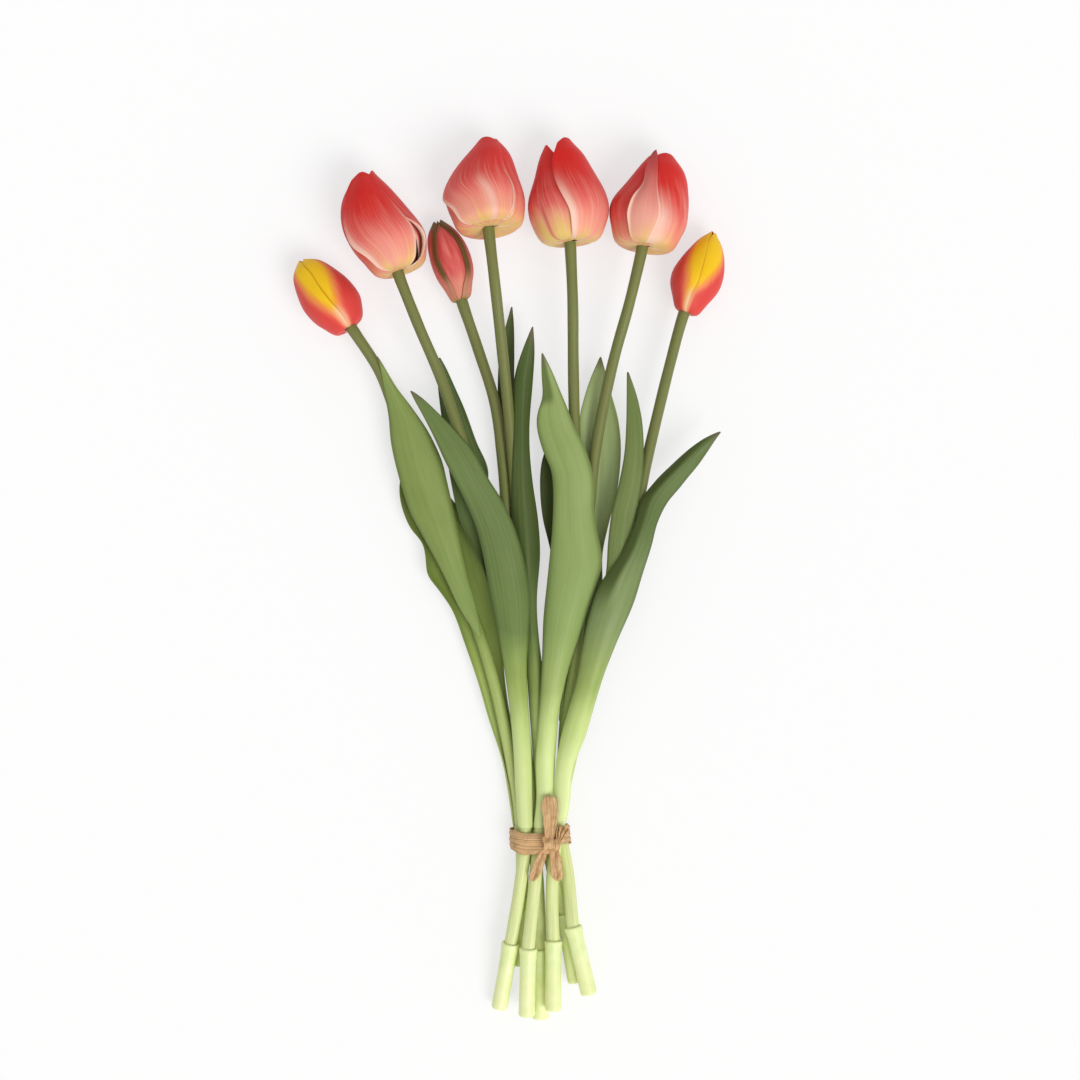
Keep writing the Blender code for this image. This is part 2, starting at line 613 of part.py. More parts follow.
for old in list(bpy.data.objects):
    bpy.data.objects.remove(old)
PARTS = bpy.data.collections.new("tulip_bunch")
bpy.context.scene.collection.children.link(PARTS)
ORIGIN = bpy.data.objects.new("bunch_origin", None)
PARTS.objects.link(ORIGIN)
ROUTES = {number: stem_route(stem) for number, stem in STEMS.items()}

for number, stem in STEMS.items():
    make_stem(number, stem)
    if stem.head.kind == "flower":
        make_flower(number, stem)
    else:
        make_bud(number, stem)
for name, leaf in LEAVES.items():
    make_leaf(name, leaf)
make_band()
make_knot()
stand_at_origin()
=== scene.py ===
"""Looks of the hand-tied bunch of seven artificial tulips, seen from straight above on a white table."""
import math

import bpy
import numpy as np
from mathutils import Matrix, Vector, noise


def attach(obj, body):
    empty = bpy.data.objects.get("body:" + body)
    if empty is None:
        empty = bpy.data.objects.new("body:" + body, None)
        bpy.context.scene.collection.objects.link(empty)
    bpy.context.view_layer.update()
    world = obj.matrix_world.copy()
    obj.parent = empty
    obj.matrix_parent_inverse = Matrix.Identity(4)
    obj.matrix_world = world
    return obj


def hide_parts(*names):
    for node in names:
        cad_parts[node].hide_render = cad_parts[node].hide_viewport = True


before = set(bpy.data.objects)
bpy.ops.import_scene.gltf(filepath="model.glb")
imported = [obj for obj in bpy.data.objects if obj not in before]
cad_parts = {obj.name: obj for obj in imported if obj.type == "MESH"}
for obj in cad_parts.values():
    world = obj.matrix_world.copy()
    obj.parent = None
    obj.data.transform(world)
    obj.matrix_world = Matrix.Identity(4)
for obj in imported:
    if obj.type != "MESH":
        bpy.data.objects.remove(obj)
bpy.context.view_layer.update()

MM = 0.001
TIE_Y = -0.1428
PETAL_THICKNESS = 0.7 * MM
LEAF_THICKNESS = 0.8 * MM
TABLE_TOP = 0.05 * MM


# Camera: straight above the bunch, as the photograph was taken.

def set_camera():
    data = bpy.data.cameras.new("camera")
    data.lens = 85
    data.sensor_width = 36
    camera = bpy.data.objects.new("camera", data)
    camera.location = (0.0159, 0.0205, 1.402)
    bpy.context.scene.collection.objects.link(camera)
    bpy.context.scene.camera = camera


set_camera()


# Curves and small helpers.

def smooth(rows, count, start=None, end=None):
    """Rows spaced evenly along a smooth curve through the given rows; the first three are x, y, z."""
    rows = np.array(rows, float)
    gaps = np.linalg.norm(np.diff(rows[:, :3], axis=0), axis=1)
    marks = np.concatenate(([0], np.cumsum(gaps)))
    slopes = np.empty_like(rows)
    slopes[0] = (rows[1] - rows[0]) / gaps[0]
    slopes[-1] = (rows[-1] - rows[-2]) / gaps[-1]
    slopes[1:-1] = (rows[2:] - rows[:-2]) / (marks[2:] - marks[:-2])[:, None]
    if start is not None:
        slopes[0, :3] = start
        slopes[-1, :3] = end
    found = []
    for mark in np.linspace(0, marks[-1], count):
        i = min(int(np.searchsorted(marks, mark, side="right")) - 1, len(gaps) - 1)
        t = (mark - marks[i]) / gaps[i]
        rise = rows[i + 1] - rows[i]
        bend_in = gaps[i] * slopes[i] - rise
        bend_out = rise - gaps[i] * slopes[i + 1]
        found.append(rows[i] + t * rise + t * (1 - t) * ((1 - t) * bend_in + t * bend_out))
    return np.array(found)


def eased(rows, at, column=1):
    """A value read from a table of rows at a place in its first column, rounded where the rows meet."""
    rows = np.array(rows, float)
    shifts = (-0.06, -0.02, 0.02, 0.06)
    return sum(np.interp(at + shift, rows[:, 0], rows[:, column]) for shift in shifts) / len(shifts)


def deselect():
    if bpy.context.object and bpy.context.object.mode != "OBJECT":
        bpy.ops.object.mode_set(mode="OBJECT")
    bpy.ops.object.select_all(action="DESELECT")


def only(piece):
    deselect()
    piece.select_set(True)
    bpy.context.view_layer.objects.active = piece


def sheet_of(name, across, along, point):
    """A grid with its own UV map, laid on the surface that point(u, v) gives; u and v are arrays."""
    deselect()
    bpy.ops.mesh.primitive_grid_add(x_subdivisions=across, y_subdivisions=along, size=1)
    piece = bpy.context.object
    piece.name = name
    piece.data.name = name
    flat = np.empty(len(piece.data.vertices) * 3)
    piece.data.vertices.foreach_get("co", flat)
    flat = flat.reshape(-1, 3)
    piece.data.vertices.foreach_set("co", point(flat[:, 0] + 0.5, flat[:, 1] + 0.5).ravel())
    piece.data.update()
    return piece


def give_wall(piece, thickness, offset, inside=0):
    """A wall of its own thickness, softened by one subdivision, all applied."""
    wall = piece.modifiers.new("wall", "SOLIDIFY")
    wall.thickness = thickness
    wall.offset = offset
    wall.use_even_offset = False
    wall.material_offset = inside
    wall.material_offset_rim = 0
    soft = piece.modifiers.new("soft", "SUBSURF")
    soft.levels = 1
    soft.uv_smooth = "PRESERVE_BOUNDARIES"
    only(piece)
    for name in ("wall", "soft"):
        bpy.ops.object.modifier_apply(modifier=name)
    bpy.ops.object.shade_smooth()


def join(name, pieces):
    only(pieces[0])
    for piece in pieces:
        piece.select_set(True)
    bpy.ops.object.join()
    whole = bpy.context.object
    whole.name = name
    whole.data.name = name
    return whole


def finish_piece(piece, node):
    """The piece is pressed flat where it meets the table, rides the one body and stands for its CAD node."""
    for vertex in piece.data.vertices:
        vertex.co.z = max(vertex.co.z, TABLE_TOP)
    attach(piece, "root")
    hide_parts(node)


# Materials. A piece's own map runs across it in u and along it in v.

TIMES = {"operation": "MULTIPLY"}
PLUS = {"operation": "ADD"}
MINUS = {"operation": "SUBTRACT"}
TIMES_PLUS = {"operation": "MULTIPLY_ADD"}


def linear(hex_colour):
    """sRGB hex to the linear values that a shader reads."""
    values = [int(hex_colour[i:i + 2], 16) / 255 for i in (0, 2, 4)]
    return [v / 12.92 if v <= 0.04045 else ((v + 0.055) / 1.055) ** 2.4 for v in values] + [1]


def fill(tree, socket, value):
    """Fills an input with a number or a hex colour, or links a socket or a node's first output to it."""
    if isinstance(value, bpy.types.Node):
        value = value.outputs[0]
    if isinstance(value, bpy.types.NodeSocket):
        tree.links.new(value, socket)
    else:
        socket.default_value = linear(value) if isinstance(value, str) else value


def add_node(tree, kind, settings=None, inputs=None, stops=()):
    """A shader node with its settings, its inputs filled or linked, and its ramp's stops."""
    made = tree.nodes.new(kind)
    for key, value in (settings or {}).items():
        setattr(made, key, value)
    for key, value in (inputs or {}).items():
        fill(tree, made.inputs[key], value)
    for _ in stops[2:]:
        made.color_ramp.elements.new(1)
    for i, (position, colour) in enumerate(stops):
        made.color_ramp.elements[i].position = position
        made.color_ramp.elements[i].color = linear(colour)
    return made


def new_material(name, **constants):
    """A material whose Principled shader has its constants set directly, and the material's tree."""
    material = bpy.data.materials.new(name)
    material.use_nodes = True
    shader = material.node_tree.nodes["Principled BSDF"]
    for key, value in constants.items():
        shader.inputs[key.replace("_", " ")].default_value = value
    return material, material.node_tree


def own_map(tree, seed=0.0):
    """A piece's own map, moved by a seed, and the places across and along the piece."""
    whole = add_node(tree, "ShaderNodeUVMap")
    parts = add_node(tree, "ShaderNodeSeparateXYZ", None, {0: whole})
    moved = add_node(tree, "ShaderNodeVectorMath", PLUS, {0: whole, 1: (seed, seed * 0.7, 0)})
    return moved, parts.outputs[0], parts.outputs[1]


def stretched_noise(tree, vector, scale, detail=3, roughness=0.55):
    """Noise stretched by a scale along each side of a map."""
    placed = add_node(tree, "ShaderNodeMapping", None, {"Vector": vector, "Scale": scale})
    return add_node(tree, "ShaderNodeTexNoise", None,
                    {"Vector": placed, "Scale": 1, "Detail": detail, "Roughness": roughness})


def coated(tree, colour, coats, how="MIX", fade="SMOOTHSTEP"):
    """Coats of spray over a colour. Each coat is its own colour and the fades that place it, which are
    multiplied: a value, where it starts, where it is whole, how dense it gets and how it fades."""
    for coat, *fades in coats:
        share = 1.0
        for value, start, end, most, *other in fades:
            faded = add_node(tree, "ShaderNodeMapRange", {"interpolation_type": other[0] if other else fade},
                             {0: value, 1: start, 2: end, 4: most})
            share = add_node(tree, "ShaderNodeMath", TIMES, {0: share, 1: faded})
        mix = add_node(tree, "ShaderNodeMix", {"data_type": "RGBA", "blend_type": how},
                       {0: share, 6: colour, 7: coat})
        colour = mix.outputs[2]
    return colour


def finish_surface(tree, colour, *reliefs):
    """Gives the shader its colour and its reliefs, each a height, a strength and a depth in metres."""
    found = {}
    for height, strength, depth in reliefs:
        inputs = {"Strength": strength, "Distance": depth, "Height": height, **found}
        found = {"Normal": add_node(tree, "ShaderNodeBump", None, inputs)}
    for key, value in {"Base Color": colour, **found}.items():
        fill(tree, tree.nodes["Principled BSDF"].inputs[key], value)


def petal_material(name, length, left, right, top, rib, seed):
    """Moulded latex petal, sprayed from yellow at the base through pink to red at the tip: satin, with fine
    lengthwise streaks 1 to 3 mm apart where the spray fades and pale margins low down. rib is the place
    across, half width, softness, height, strength and colour of a pale rib or of a dark line of painted
    shade along a fold."""
    material, tree = new_material(name, Roughness=0.5, Specular_IOR_Level=0.22, Subsurface_Weight=0.12,
                                  Subsurface_Scale=0.003, Subsurface_Radius=(1.0, 0.3, 0.22),
                                  Sheen_Weight=0.05)
    moved, across, along = own_map(tree, seed)
    streaks = stretched_noise(tree, moved, (17, 1.3, 1), 4)
    broad = stretched_noise(tree, moved, (6, 1.1, 1), 2, 0.5)
    fine = stretched_noise(tree, moved, (44, 1.8, 1), 2, 0.5)
    wander = add_node(tree, "ShaderNodeMath", TIMES_PLUS, {0: streaks, 1: 0.15, 2: -0.205})
    wander = add_node(tree, "ShaderNodeMath", TIMES_PLUS, {0: broad, 1: 0.26, 2: wander})
    place = add_node(tree, "ShaderNodeMath", PLUS, {0: along, 1: wander})
    colour = add_node(tree, "ShaderNodeValToRGB", None, {0: place}, length)
    low = (along, 0.75, 0.3, 1, "LINEAR")
    lower = (along, top + 0.2, top - 0.3, 0.85)
    coats = [("FACDBB", (fine, 0.42, 0.78, 0.28), low), ("F8B8A6", (broad, 0.48, 0.7, 0.28), low),
             ("F8D0BC", (across, left * 1.6, left * 0.4, 1), lower),
             ("F8D0BC", (across, 1 - right * 1.6, 1 - right * 0.4, 1), lower)]
    # A pale rib, or a dark line of painted shade along a fold where an outer petal bulges over the one
    # inside it.
    if rib:
        centre, half, soft, high, strength, tone = rib
        off = add_node(tree, "ShaderNodeMath", MINUS, {0: across, 1: centre})
        off = add_node(tree, "ShaderNodeMath", {"operation": "ABSOLUTE"}, {0: off})
        off = add_node(tree, "ShaderNodeMath", TIMES_PLUS, {0: streaks, 1: soft * 0.8, 2: off})
        coats.append((tone, (off, half + soft, half * 0.5, strength), (along, high, high - 0.25, 1)))
    finish_surface(tree, coated(tree, colour, coats), (streaks, 0.3, 0.0004), (fine, 0.2, 0.0002))
    return material


def bud_material(name, seam, band):
    """Moulded latex bud petal: sprayed yellow beside the seam, soft orange where the sprays meet, red away
    from it, and pale pink at the base. band is the yellow's width, where it starts and how it widens."""
    width, start, power = band
    material, tree = new_material(name, Roughness=0.48, Specular_IOR_Level=0.25, Subsurface_Weight=0.1,
                                  Subsurface_Scale=0.003, Subsurface_Radius=(1.0, 0.4, 0.2))
    whole, across, along = own_map(tree)
    if seam == "right":
        across = add_node(tree, "ShaderNodeMath", MINUS, {0: 1, 1: across})
    streaks = stretched_noise(tree, whole, (30, 1.4, 1), 3, 0.5)
    reach = add_node(tree, "ShaderNodeMath", {**MINUS, "use_clamp": True}, {0: along, 1: start})
    reach = add_node(tree, "ShaderNodeMath", {"operation": "POWER"}, {0: reach, 1: power})
    reach = add_node(tree, "ShaderNodeMath", TIMES, {0: reach, 1: width})
    past = add_node(tree, "ShaderNodeMath", MINUS, {0: across, 1: reach})
    past = add_node(tree, "ShaderNodeMath", TIMES_PLUS, {0: streaks, 1: 0.05, 2: past})
    past = add_node(tree, "ShaderNodeMapRange", None, {0: past, 1: -0.03, 2: 0.16})
    colour = add_node(tree, "ShaderNodeValToRGB", None, {0: past},
                      [(0.0, "FBC818"), (0.2, "FCC51E"), (0.42, "F6A236"), (0.62, "F08450"),
                       (0.82, "E65C46"), (1, "DE4640")])
    colour = coated(tree, colour, [("B8800E", (across, 0.024, 0.0, 0.75)),
                                   ("F8CDB8", (along, 0.3, 0.12, 0.65), (across, 0.11, 0.01, 1))])
    finish_surface(tree, colour, (streaks, 0.3, 0.0003))
    return material


def tight_bud_material(name, left, right):
    """Moulded latex of the closed bud: salmon, sprayed olive brown along the petals' edges and at the tip.
    left and right are how far the brown runs in from each edge, as shares of the petal's width."""
    material, tree = new_material(name, Roughness=0.5, Specular_IOR_Level=0.25, Subsurface_Weight=0.08,
                                  Subsurface_Scale=0.003)
    whole, across, along = own_map(tree)
    streaks = stretched_noise(tree, whole, (24, 1.5, 1), 3, 0.5)
    tone = stretched_noise(tree, whole, (5, 2.5, 1), 2, 0.5)
    colour = add_node(tree, "ShaderNodeValToRGB", None, {0: tone},
                      [(0.3, "CC4E4C"), (0.5, "DA625E"), (0.7, "E88074")])
    moved = add_node(tree, "ShaderNodeMath", TIMES_PLUS, {0: streaks, 1: 0.04, 2: across})
    colour = coated(tree, colour, [
        ("66562A", (moved, left * 1.5 + 0.02, left * 0.6 + 0.02, 0.95)),
        ("66562A", (moved, 1.02 - right * 1.5, 1.02 - right * 0.6, 0.95)),
        ("6C5E2E", (along, 0.8, 0.96, 0.9)), ("E4A084", (along, 0.34, 0.14, 0.6)),
        ("7F7F3E", (along, 0.11, 0.02, 0.9))])
    finish_surface(tree, colour, (streaks, 0.3, 0.0003))
    return material


def green_by_height(tree, low, high, stops):
    """The spray's colour down the plant: olive above, yellow green below, nearly cream at the foot."""
    place = add_node(tree, "ShaderNodeTexCoord").outputs["Object"]
    parts = add_node(tree, "ShaderNodeSeparateXYZ", None, {0: place})
    share = add_node(tree, "ShaderNodeMapRange", None, {0: parts.outputs[1], 1: low, 2: high, 4: 1})
    patches = add_node(tree, "ShaderNodeTexNoise", None, {"Vector": place, "Scale": 45, "Detail": 2})
    share = add_node(tree, "ShaderNodeMath", TIMES_PLUS, {0: patches, 1: 0.07, 2: share})
    share = add_node(tree, "ShaderNodeMath", MINUS, {0: share, 1: 0.035})
    spread = [((y - low) / (high - low), colour) for y, colour in stops]
    return add_node(tree, "ShaderNodeValToRGB", None, {0: share}, spread)


def stem_material():
    """Moulded PVC stem with a soft matt skin, sprayed olive: fine lengthwise ribs give it a dull sheen."""
    material, tree = new_material("moulded_stem_skin", Roughness=0.5, Specular_IOR_Level=0.4,
                                  Subsurface_Weight=0.06, Subsurface_Scale=0.003)
    colour = green_by_height(tree, -0.24, 0.2, [
        (-0.21, "F0F7B4"), (-0.15, "E8F2A8"), (-0.12, "DCE896"), (-0.075, "BFD07C"), (-0.03, "90A04E"),
        (0.06, "787D42"), (0.19, "7E8348")])
    ribs = stretched_noise(tree, own_map(tree)[0], (3, 60, 1), 3, 0.5)
    colour = coated(tree, colour, [("66743A", (ribs, 0.35, 0.75, 0.35))], "MULTIPLY", "LINEAR")
    finish_surface(tree, colour, (ribs, 0.3, 0.0002))
    return material


def leaf_material(name, seed, top, middle, low, edge_shade, fold=None):
    """Moulded latex leaf, sprayed green over cream: a satin skin with broad soft patches, faint parallel
    veins about 0.8 mm apart, darker edges and a browned tip. fold is (u from, u to, v from, v to, colour)
    of a part painted darker: painted shade on the facet above a crease on leaf_4_front and leaf_7_outer,
    and the darker folded tip of leaf_5_front."""
    material, tree = new_material(name, Roughness=0.5, Specular_IOR_Level=0.3, Subsurface_Weight=0.05,
                                  Subsurface_Scale=0.003, Sheen_Weight=0.06)
    colour = green_by_height(tree, -0.13, 0.16, [
        (-0.125, "E9F4B0"), (-0.1, "E5F2AA"), (-0.08, "D6E698"), (-0.058, low), (-0.028, middle),
        (0.03, top), (0.13, top)])
    moved, across, along = own_map(tree, seed)
    soft = stretched_noise(tree, moved, (2.0, 4, 1))
    stripe = stretched_noise(tree, moved, (5, 1.1, 1), 3, 0.45)
    vein = stretched_noise(tree, moved, (34, 1.2, 1), 2, 0.4)
    shades = [("D3DCB4", (soft, 0.32, 0.68, 0.5)), ("BCC896", (stripe, 0.36, 0.7, 0.26))]
    colour = coated(tree, colour, shades, "MULTIPLY", "LINEAR")
    colour = coated(tree, colour, [("E4EDC4", (vein, 0.42, 0.72, 0.05))], "SCREEN", "LINEAR")
    edges = [(edge_shade, (across, start, end, 0.55)) for start, end in ((0.16, 0.0), (0.84, 1.0))]
    colour = coated(tree, colour, edges, "MULTIPLY")
    coats = [("6B5E4A", (along, 0.955, 1.0, 0.8))]
    # The darker part: painted shade on the facet above a crease, and on leaf_5_front a darker folded tip.
    if fold:
        u_from, u_to, v_from, v_to, tone = fold
        coats.insert(0, (tone, (across, u_from, u_to, 1), (along, v_from, v_to, 0.9)))
    colour = coated(tree, colour, coats)
    finish_surface(tree, colour, (vein, 0.12, 0.0002), (stripe, 0.25, 0.0012))
    return material


def foot_material():
    """Moulded PVC foot, left nearly unsprayed: cream green, smooth, with a soft highlight."""
    material, tree = new_material("moulded_foot", Roughness=0.36, Specular_IOR_Level=0.45,
                                  Subsurface_Weight=0.15, Subsurface_Scale=0.004)
    place = add_node(tree, "ShaderNodeTexCoord").outputs["Object"]
    mottle = add_node(tree, "ShaderNodeTexNoise", None, {"Vector": place, "Scale": 120, "Detail": 3})
    colour = add_node(tree, "ShaderNodeValToRGB", None, {0: mottle},
                      [(0.3, "E6F0AA"), (0.55, "EFF7B6"), (0.8, "F4FAC6")])
    finish_surface(tree, colour, (mottle, 0.12, 0.0003))
    return material


def raffia_material():
    """Dried palm raffia: split fibres 0.4 mm apart along the strand, straw to brown, with a slight shine."""
    material, tree = new_material("split_raffia", Roughness=0.62, Specular_IOR_Level=0.3)
    fibres = stretched_noise(tree, own_map(tree)[0], (16, 3, 1), 4, 0.65)
    colour = add_node(tree, "ShaderNodeValToRGB", None, {0: fibres},
                      [(0.26, "8A6238"), (0.4, "BE9260"), (0.53, "DAB280"), (0.72, "F2DAB4")])
    place = add_node(tree, "ShaderNodeTexCoord").outputs["Object"]
    blotch = add_node(tree, "ShaderNodeTexNoise", None, {"Vector": place, "Scale": 260, "Detail": 2})
    colour = coated(tree, colour, [("8A6038", (blotch, 0.45, 0.7, 0.25))], "MULTIPLY", "LINEAR")
    finish_surface(tree, colour, (fibres, 0.7, 0.0004))
    return material


def wire_material():
    """Drawn steel wire: lengthwise drawing marks, dull grey."""
    material, tree = new_material("drawn_steel_wire", Roughness=0.35, Metallic=1)
    place = add_node(tree, "ShaderNodeTexCoord").outputs["Object"]
    marks = stretched_noise(tree, place, (4000, 60, 4000), 2, 0.5)
    greys = [(0.3, "8D8F90"), (0.7, "B4B6B7")]
    finish_surface(tree, add_node(tree, "ShaderNodeValToRGB", None, {0: marks}, greys))
    return material


def foam_material():
    """Cut polystyrene foam: beads about 1.5 mm wide show as cells."""
    material, tree = new_material("cut_foam", Roughness=0.8)
    place = add_node(tree, "ShaderNodeTexCoord").outputs["Object"]
    beads = add_node(tree, "ShaderNodeTexVoronoi", None, {"Vector": place, "Scale": 650})
    whites = [(0.0, "F1EEE6"), (0.8, "DDD8CB")]
    finish_surface(tree, add_node(tree, "ShaderNodeValToRGB", None, {0: beads}, whites))
    return material


# Stems, read from the wires that run through them. Lengths and radii are in millimetres.

HEAD_LIFT = {1: 0.3, 2: 0.3, 3: 0.3, 4: 0.3, 5: 0.3, 6: 0.3, 7: 2.4}
WIRE_ABOVE_FOOT_END = 24.3
STEM_RADII = (3.55, 2.9)
RING_GAP = 1.2


def wire_rings(number):
    """The centres of the rings of one wire, from the foot up."""
    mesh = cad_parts[f"wire_{number}"].data
    points = sorted((v.co.copy() for v in mesh.vertices), key=lambda p: p.y)
    rings = [[points[0]]]
    for point in points[1:]:
        if point.y - rings[-1][-1].y > RING_GAP * MM:
            rings.append([])
        rings[-1].append(point)
    centres = []
    for ring in rings:
        low = Vector([min(p[i] for p in ring) for i in range(3)])
        high = Vector([max(p[i] for p in ring) for i in range(3)])
        centres.append((low + high) / 2)
    return centres


class Stem:
    """One stem's smooth route, its head's base and axis, and its foot's end and axis."""

    def __init__(self, number):
        rings = wire_rings(number)
        self.axis = (rings[-1] - rings[-2]).normalized()
        self.base = rings[-2] + self.axis * HEAD_LIFT[number] * MM
        self.foot_axis = (rings[1] - rings[0]).normalized()
        self.foot_end = rings[0] - self.foot_axis * WIRE_ABOVE_FOOT_END * MM
        rings[-2] = self.base
        self.route = smooth([tuple(r) for r in rings[:-1]], 90, tuple(self.foot_axis), tuple(self.axis))

    def at(self, y):
        return np.array([np.interp(y, self.route[:, 1], self.route[:, i]) for i in range(3)])

    def radius(self, y):
        return np.interp(y, (self.route[0, 1], self.route[-1, 1]), STEM_RADII) * MM


STEMS = {number: Stem(number) for number in range(1, 8)}


def make_stem(number, material):
    """A tapered tube on a smooth curve, made a mesh, a little uneven and with a collar under the head."""
    stem = STEMS[number]
    name = f"tulip_stem_{number}"
    data = bpy.data.curves.new(name, "CURVE")
    data.dimensions = "3D"
    data.bevel_depth = 1
    data.bevel_resolution = 6
    data.use_fill_caps = True
    line = data.splines.new("POLY")
    line.points.add(len(stem.route) - 1)
    for i, place in enumerate(stem.route):
        line.points[i].co = (*place, 1)
        collar = 0.1 * math.exp(-((len(stem.route) - 1 - i) / 2.2) ** 2)
        line.points[i].radius = stem.radius(place[1]) * (1 + collar + 0.012 * math.sin(i * 0.9 + number))
    piece = bpy.data.objects.new(name, data)
    bpy.context.scene.collection.objects.link(piece)
    only(piece)
    bpy.ops.object.convert(target="MESH")
    piece = bpy.context.object
    piece.name = name
    layer = piece.data.uv_layers.active or piece.data.uv_layers.new(name="UVMap")
    for loop in piece.data.loops:
        point = piece.data.vertices[loop.vertex_index].co
        middle = stem.at(point.y)
        turn = math.atan2(point.z - middle[2], point.x - middle[0]) / math.tau + 0.5
        layer.data[loop.index].uv = ((point.y - stem.route[0, 1]) * 10, turn)
    bpy.ops.object.shade_smooth_by_angle(angle=math.radians(50))
    piece.data.materials.clear()
    piece.data.materials.append(material)
    finish_piece(piece, f"stem_{number}")


# Feet: one foot modelled upright from rows of height and radius, then a copy laid at each stem.

FOOT_STATIONS = [
    (0, 3.9), (0.35, 4.2), (0.9, 4.5), (1.6, 4.52), (8, 4.46), (16, 4.4), (24, 4.36), (29, 4.4), (32, 4.5),
    (34.2, 4.75), (35.8, 4.9), (36.6, 4.98), (37.2, 4.98), (37.7, 4.86), (38, 4.6), (38.1, 4.2), (38, 3.8),
    (37.5, 3.62), (36, 3.57), (25, 3.56),
]


def model_foot():
    """A turned outline: chamfered end, long body, flared lip and the socket that the stem plugs into."""
    deselect()
    bpy.ops.mesh.primitive_circle_add(vertices=40, radius=FOOT_STATIONS[0][1] * MM, fill_type="NGON")
    foot = bpy.context.object
    bpy.ops.object.mode_set(mode="EDIT")
    bpy.ops.mesh.select_all(action="SELECT")
    for (height, radius), (next_height, next_radius) in zip(FOOT_STATIONS, FOOT_STATIONS[1:]):
        step = (next_height - height) * MM
        bpy.ops.mesh.extrude_region_move(TRANSFORM_OT_translate={"value": (0, 0, step)})
        scale = next_radius / radius
        bpy.ops.transform.resize(value=(scale, scale, 1), center_override=(0, 0, next_height * MM))
    bpy.ops.mesh.select_all(action="SELECT")
    bpy.ops.mesh.normals_make_consistent(inside=False)
    bpy.ops.object.mode_set(mode="OBJECT")
    return foot


def make_feet(material):
    first = model_foot()
    for number, stem in STEMS.items():
        piece = first.copy()
        piece.data = first.data.copy()
        piece.name = f"tulip_foot_{number}"
        bpy.context.scene.collection.objects.link(piece)
        turn = stem.foot_axis.to_track_quat("Z", "Y").to_matrix().to_4x4()
        piece.matrix_world = Matrix.Translation(stem.foot_end) @ turn
        only(piece)
        bpy.ops.object.transform_apply(location=True, rotation=True, scale=True)
        bpy.ops.object.shade_smooth_by_angle(angle=math.radians(40))
        piece.data.materials.append(material)
        finish_piece(piece, f"foot_{number}")
    bpy.data.objects.remove(first)


# Heads. A petal's edges are given as angles round the head: 90 faces up, 180 left and 0 right. The outline's
# rows are a share of the head's length, the girth there and how far it leans to the right, as shares of its
# radius.

BASE_GIRTH = 0.14


class Head:
    """A flower's or bud's size, outline and frame: the base, the axis and the directions right and up."""

    def __init__(self, number, length, width, shape):
        stem = STEMS[number]
        self.number = number
        self.base = np.array(stem.base)
        self.axis = np.array(stem.axis)
        right = stem.axis.cross(Vector((0, 0, 1))).normalized()
        self.right = np.array(right)
        self.up = np.array(right.cross(stem.axis))
        self.length = length * MM
        self.radius = width / 2 * MM
        self.shape = shape

    def point(self, share, angle, off, shut):
        """A point of the head at a share of its length, at an angle, off its outline by a distance. shut
        draws it in to the axis."""
        rounding = np.sqrt(np.clip(share / 0.06, 0, 1))
        girth = BASE_GIRTH + (eased(self.shape, share) - BASE_GIRTH) * rounding
        lean = eased(self.shape, share, 2) * self.radius
        rise = share - 0.07 * np.sin(math.pi * np.clip(share / 0.15, 0, 1))
        reach = (girth * self.radius + off) * (1 - shut)
        turn = np.radians(angle)
        aside = np.outer(reach * np.cos(turn) + lean, self.right) + np.outer(reach * np.sin(turn), self.up)
        return self.base + np.outer(rise * self.length, self.axis) + aside


def make_petal(name, head, finishes, left, right, under, corner, bow, reach=1, curl=None, ruffle=0.3, seed=0,
               close=(0, 0.5)):
    """One petal of a head, with its finishes outside and inside. left and right are its edges as rows of a
    share of the head's length and an angle, under is how far each edge lies off the head's outline, curl is
    (side, width, turn, from, to) of a rolled edge and close is the share of the way to the axis that the tip
    leans in and where along the petal that starts."""

    def surface(u, v):
        fall = corner * np.abs(2 * u - 1) ** 2.6
        share = v * reach * (1 - fall * v ** 2)
        start, end = eased(left, share), eased(right, share)
        bowed = bow * np.sin(math.pi * u) * np.sin(math.pi * np.clip(v, 0, 1))
        off = under[0] * (1 - u) + under[1] * u + bowed
        ripple = ruffle * np.sin(9 * u + seed) * np.sin(5 * v + seed * 2) * np.clip(v * 1.6, 0, 1)
        edge = np.abs(2 * u - 1) ** 4 * v ** 2 * ruffle * 1.6 * np.sin(13 * v + seed * 3)
        shut = close[0] * np.clip((v - close[1]) / (1 - close[1]), 0, 1) ** 1.7
        return head.point(share, start + (end - start) * u, (off + ripple + edge) * MM, shut)

    def rolled(u, v):
        """The petal with one edge rolled out of its surface, on a line that runs along the petal."""
        side, width, turn, low, high = curl
        away = 1 if side == "left" else -1
        inner = np.full_like(u, width if side == "left" else 1 - width)
        past = (inner - u) * away
        step = 0.01
        hinge = surface(inner, v)
        outward = hinge - surface(inner + away * step, v)
        span = np.linalg.norm(outward, axis=1)
        outward = outward / span[:, None]
        along = surface(inner, np.clip(v + step, 0, 1 + step)) - surface(inner, np.clip(v - step, -step, 1))
        normal = away * np.cross(along, outward)
        normal /= np.linalg.norm(normal, axis=1)[:, None] + 1e-12
        distance = past / step * span
        strength = np.clip((v - low) / 0.12, 0, 1) * np.clip((high - v) / 0.2, 0, 1)
        bend = np.radians(turn) * strength / (width / step * span)
        safe = np.where(bend > 1, bend, 1)
        ahead = np.where(bend > 1, np.sin(bend * distance) / safe, distance)
        lift = np.where(bend > 1, (1 - np.cos(bend * distance)) / safe, 0)
        moved = hinge + outward * ahead[:, None] + normal * lift[:, None]
        return np.where(past[:, None] > 1e-6, moved, surface(u, v))

    piece = sheet_of(name, 18, 22, rolled if curl else surface)
    for finish in finishes:
        piece.data.materials.append(finish)
    give_wall(piece, PETAL_THICKNESS, -1, 1)
    return piece


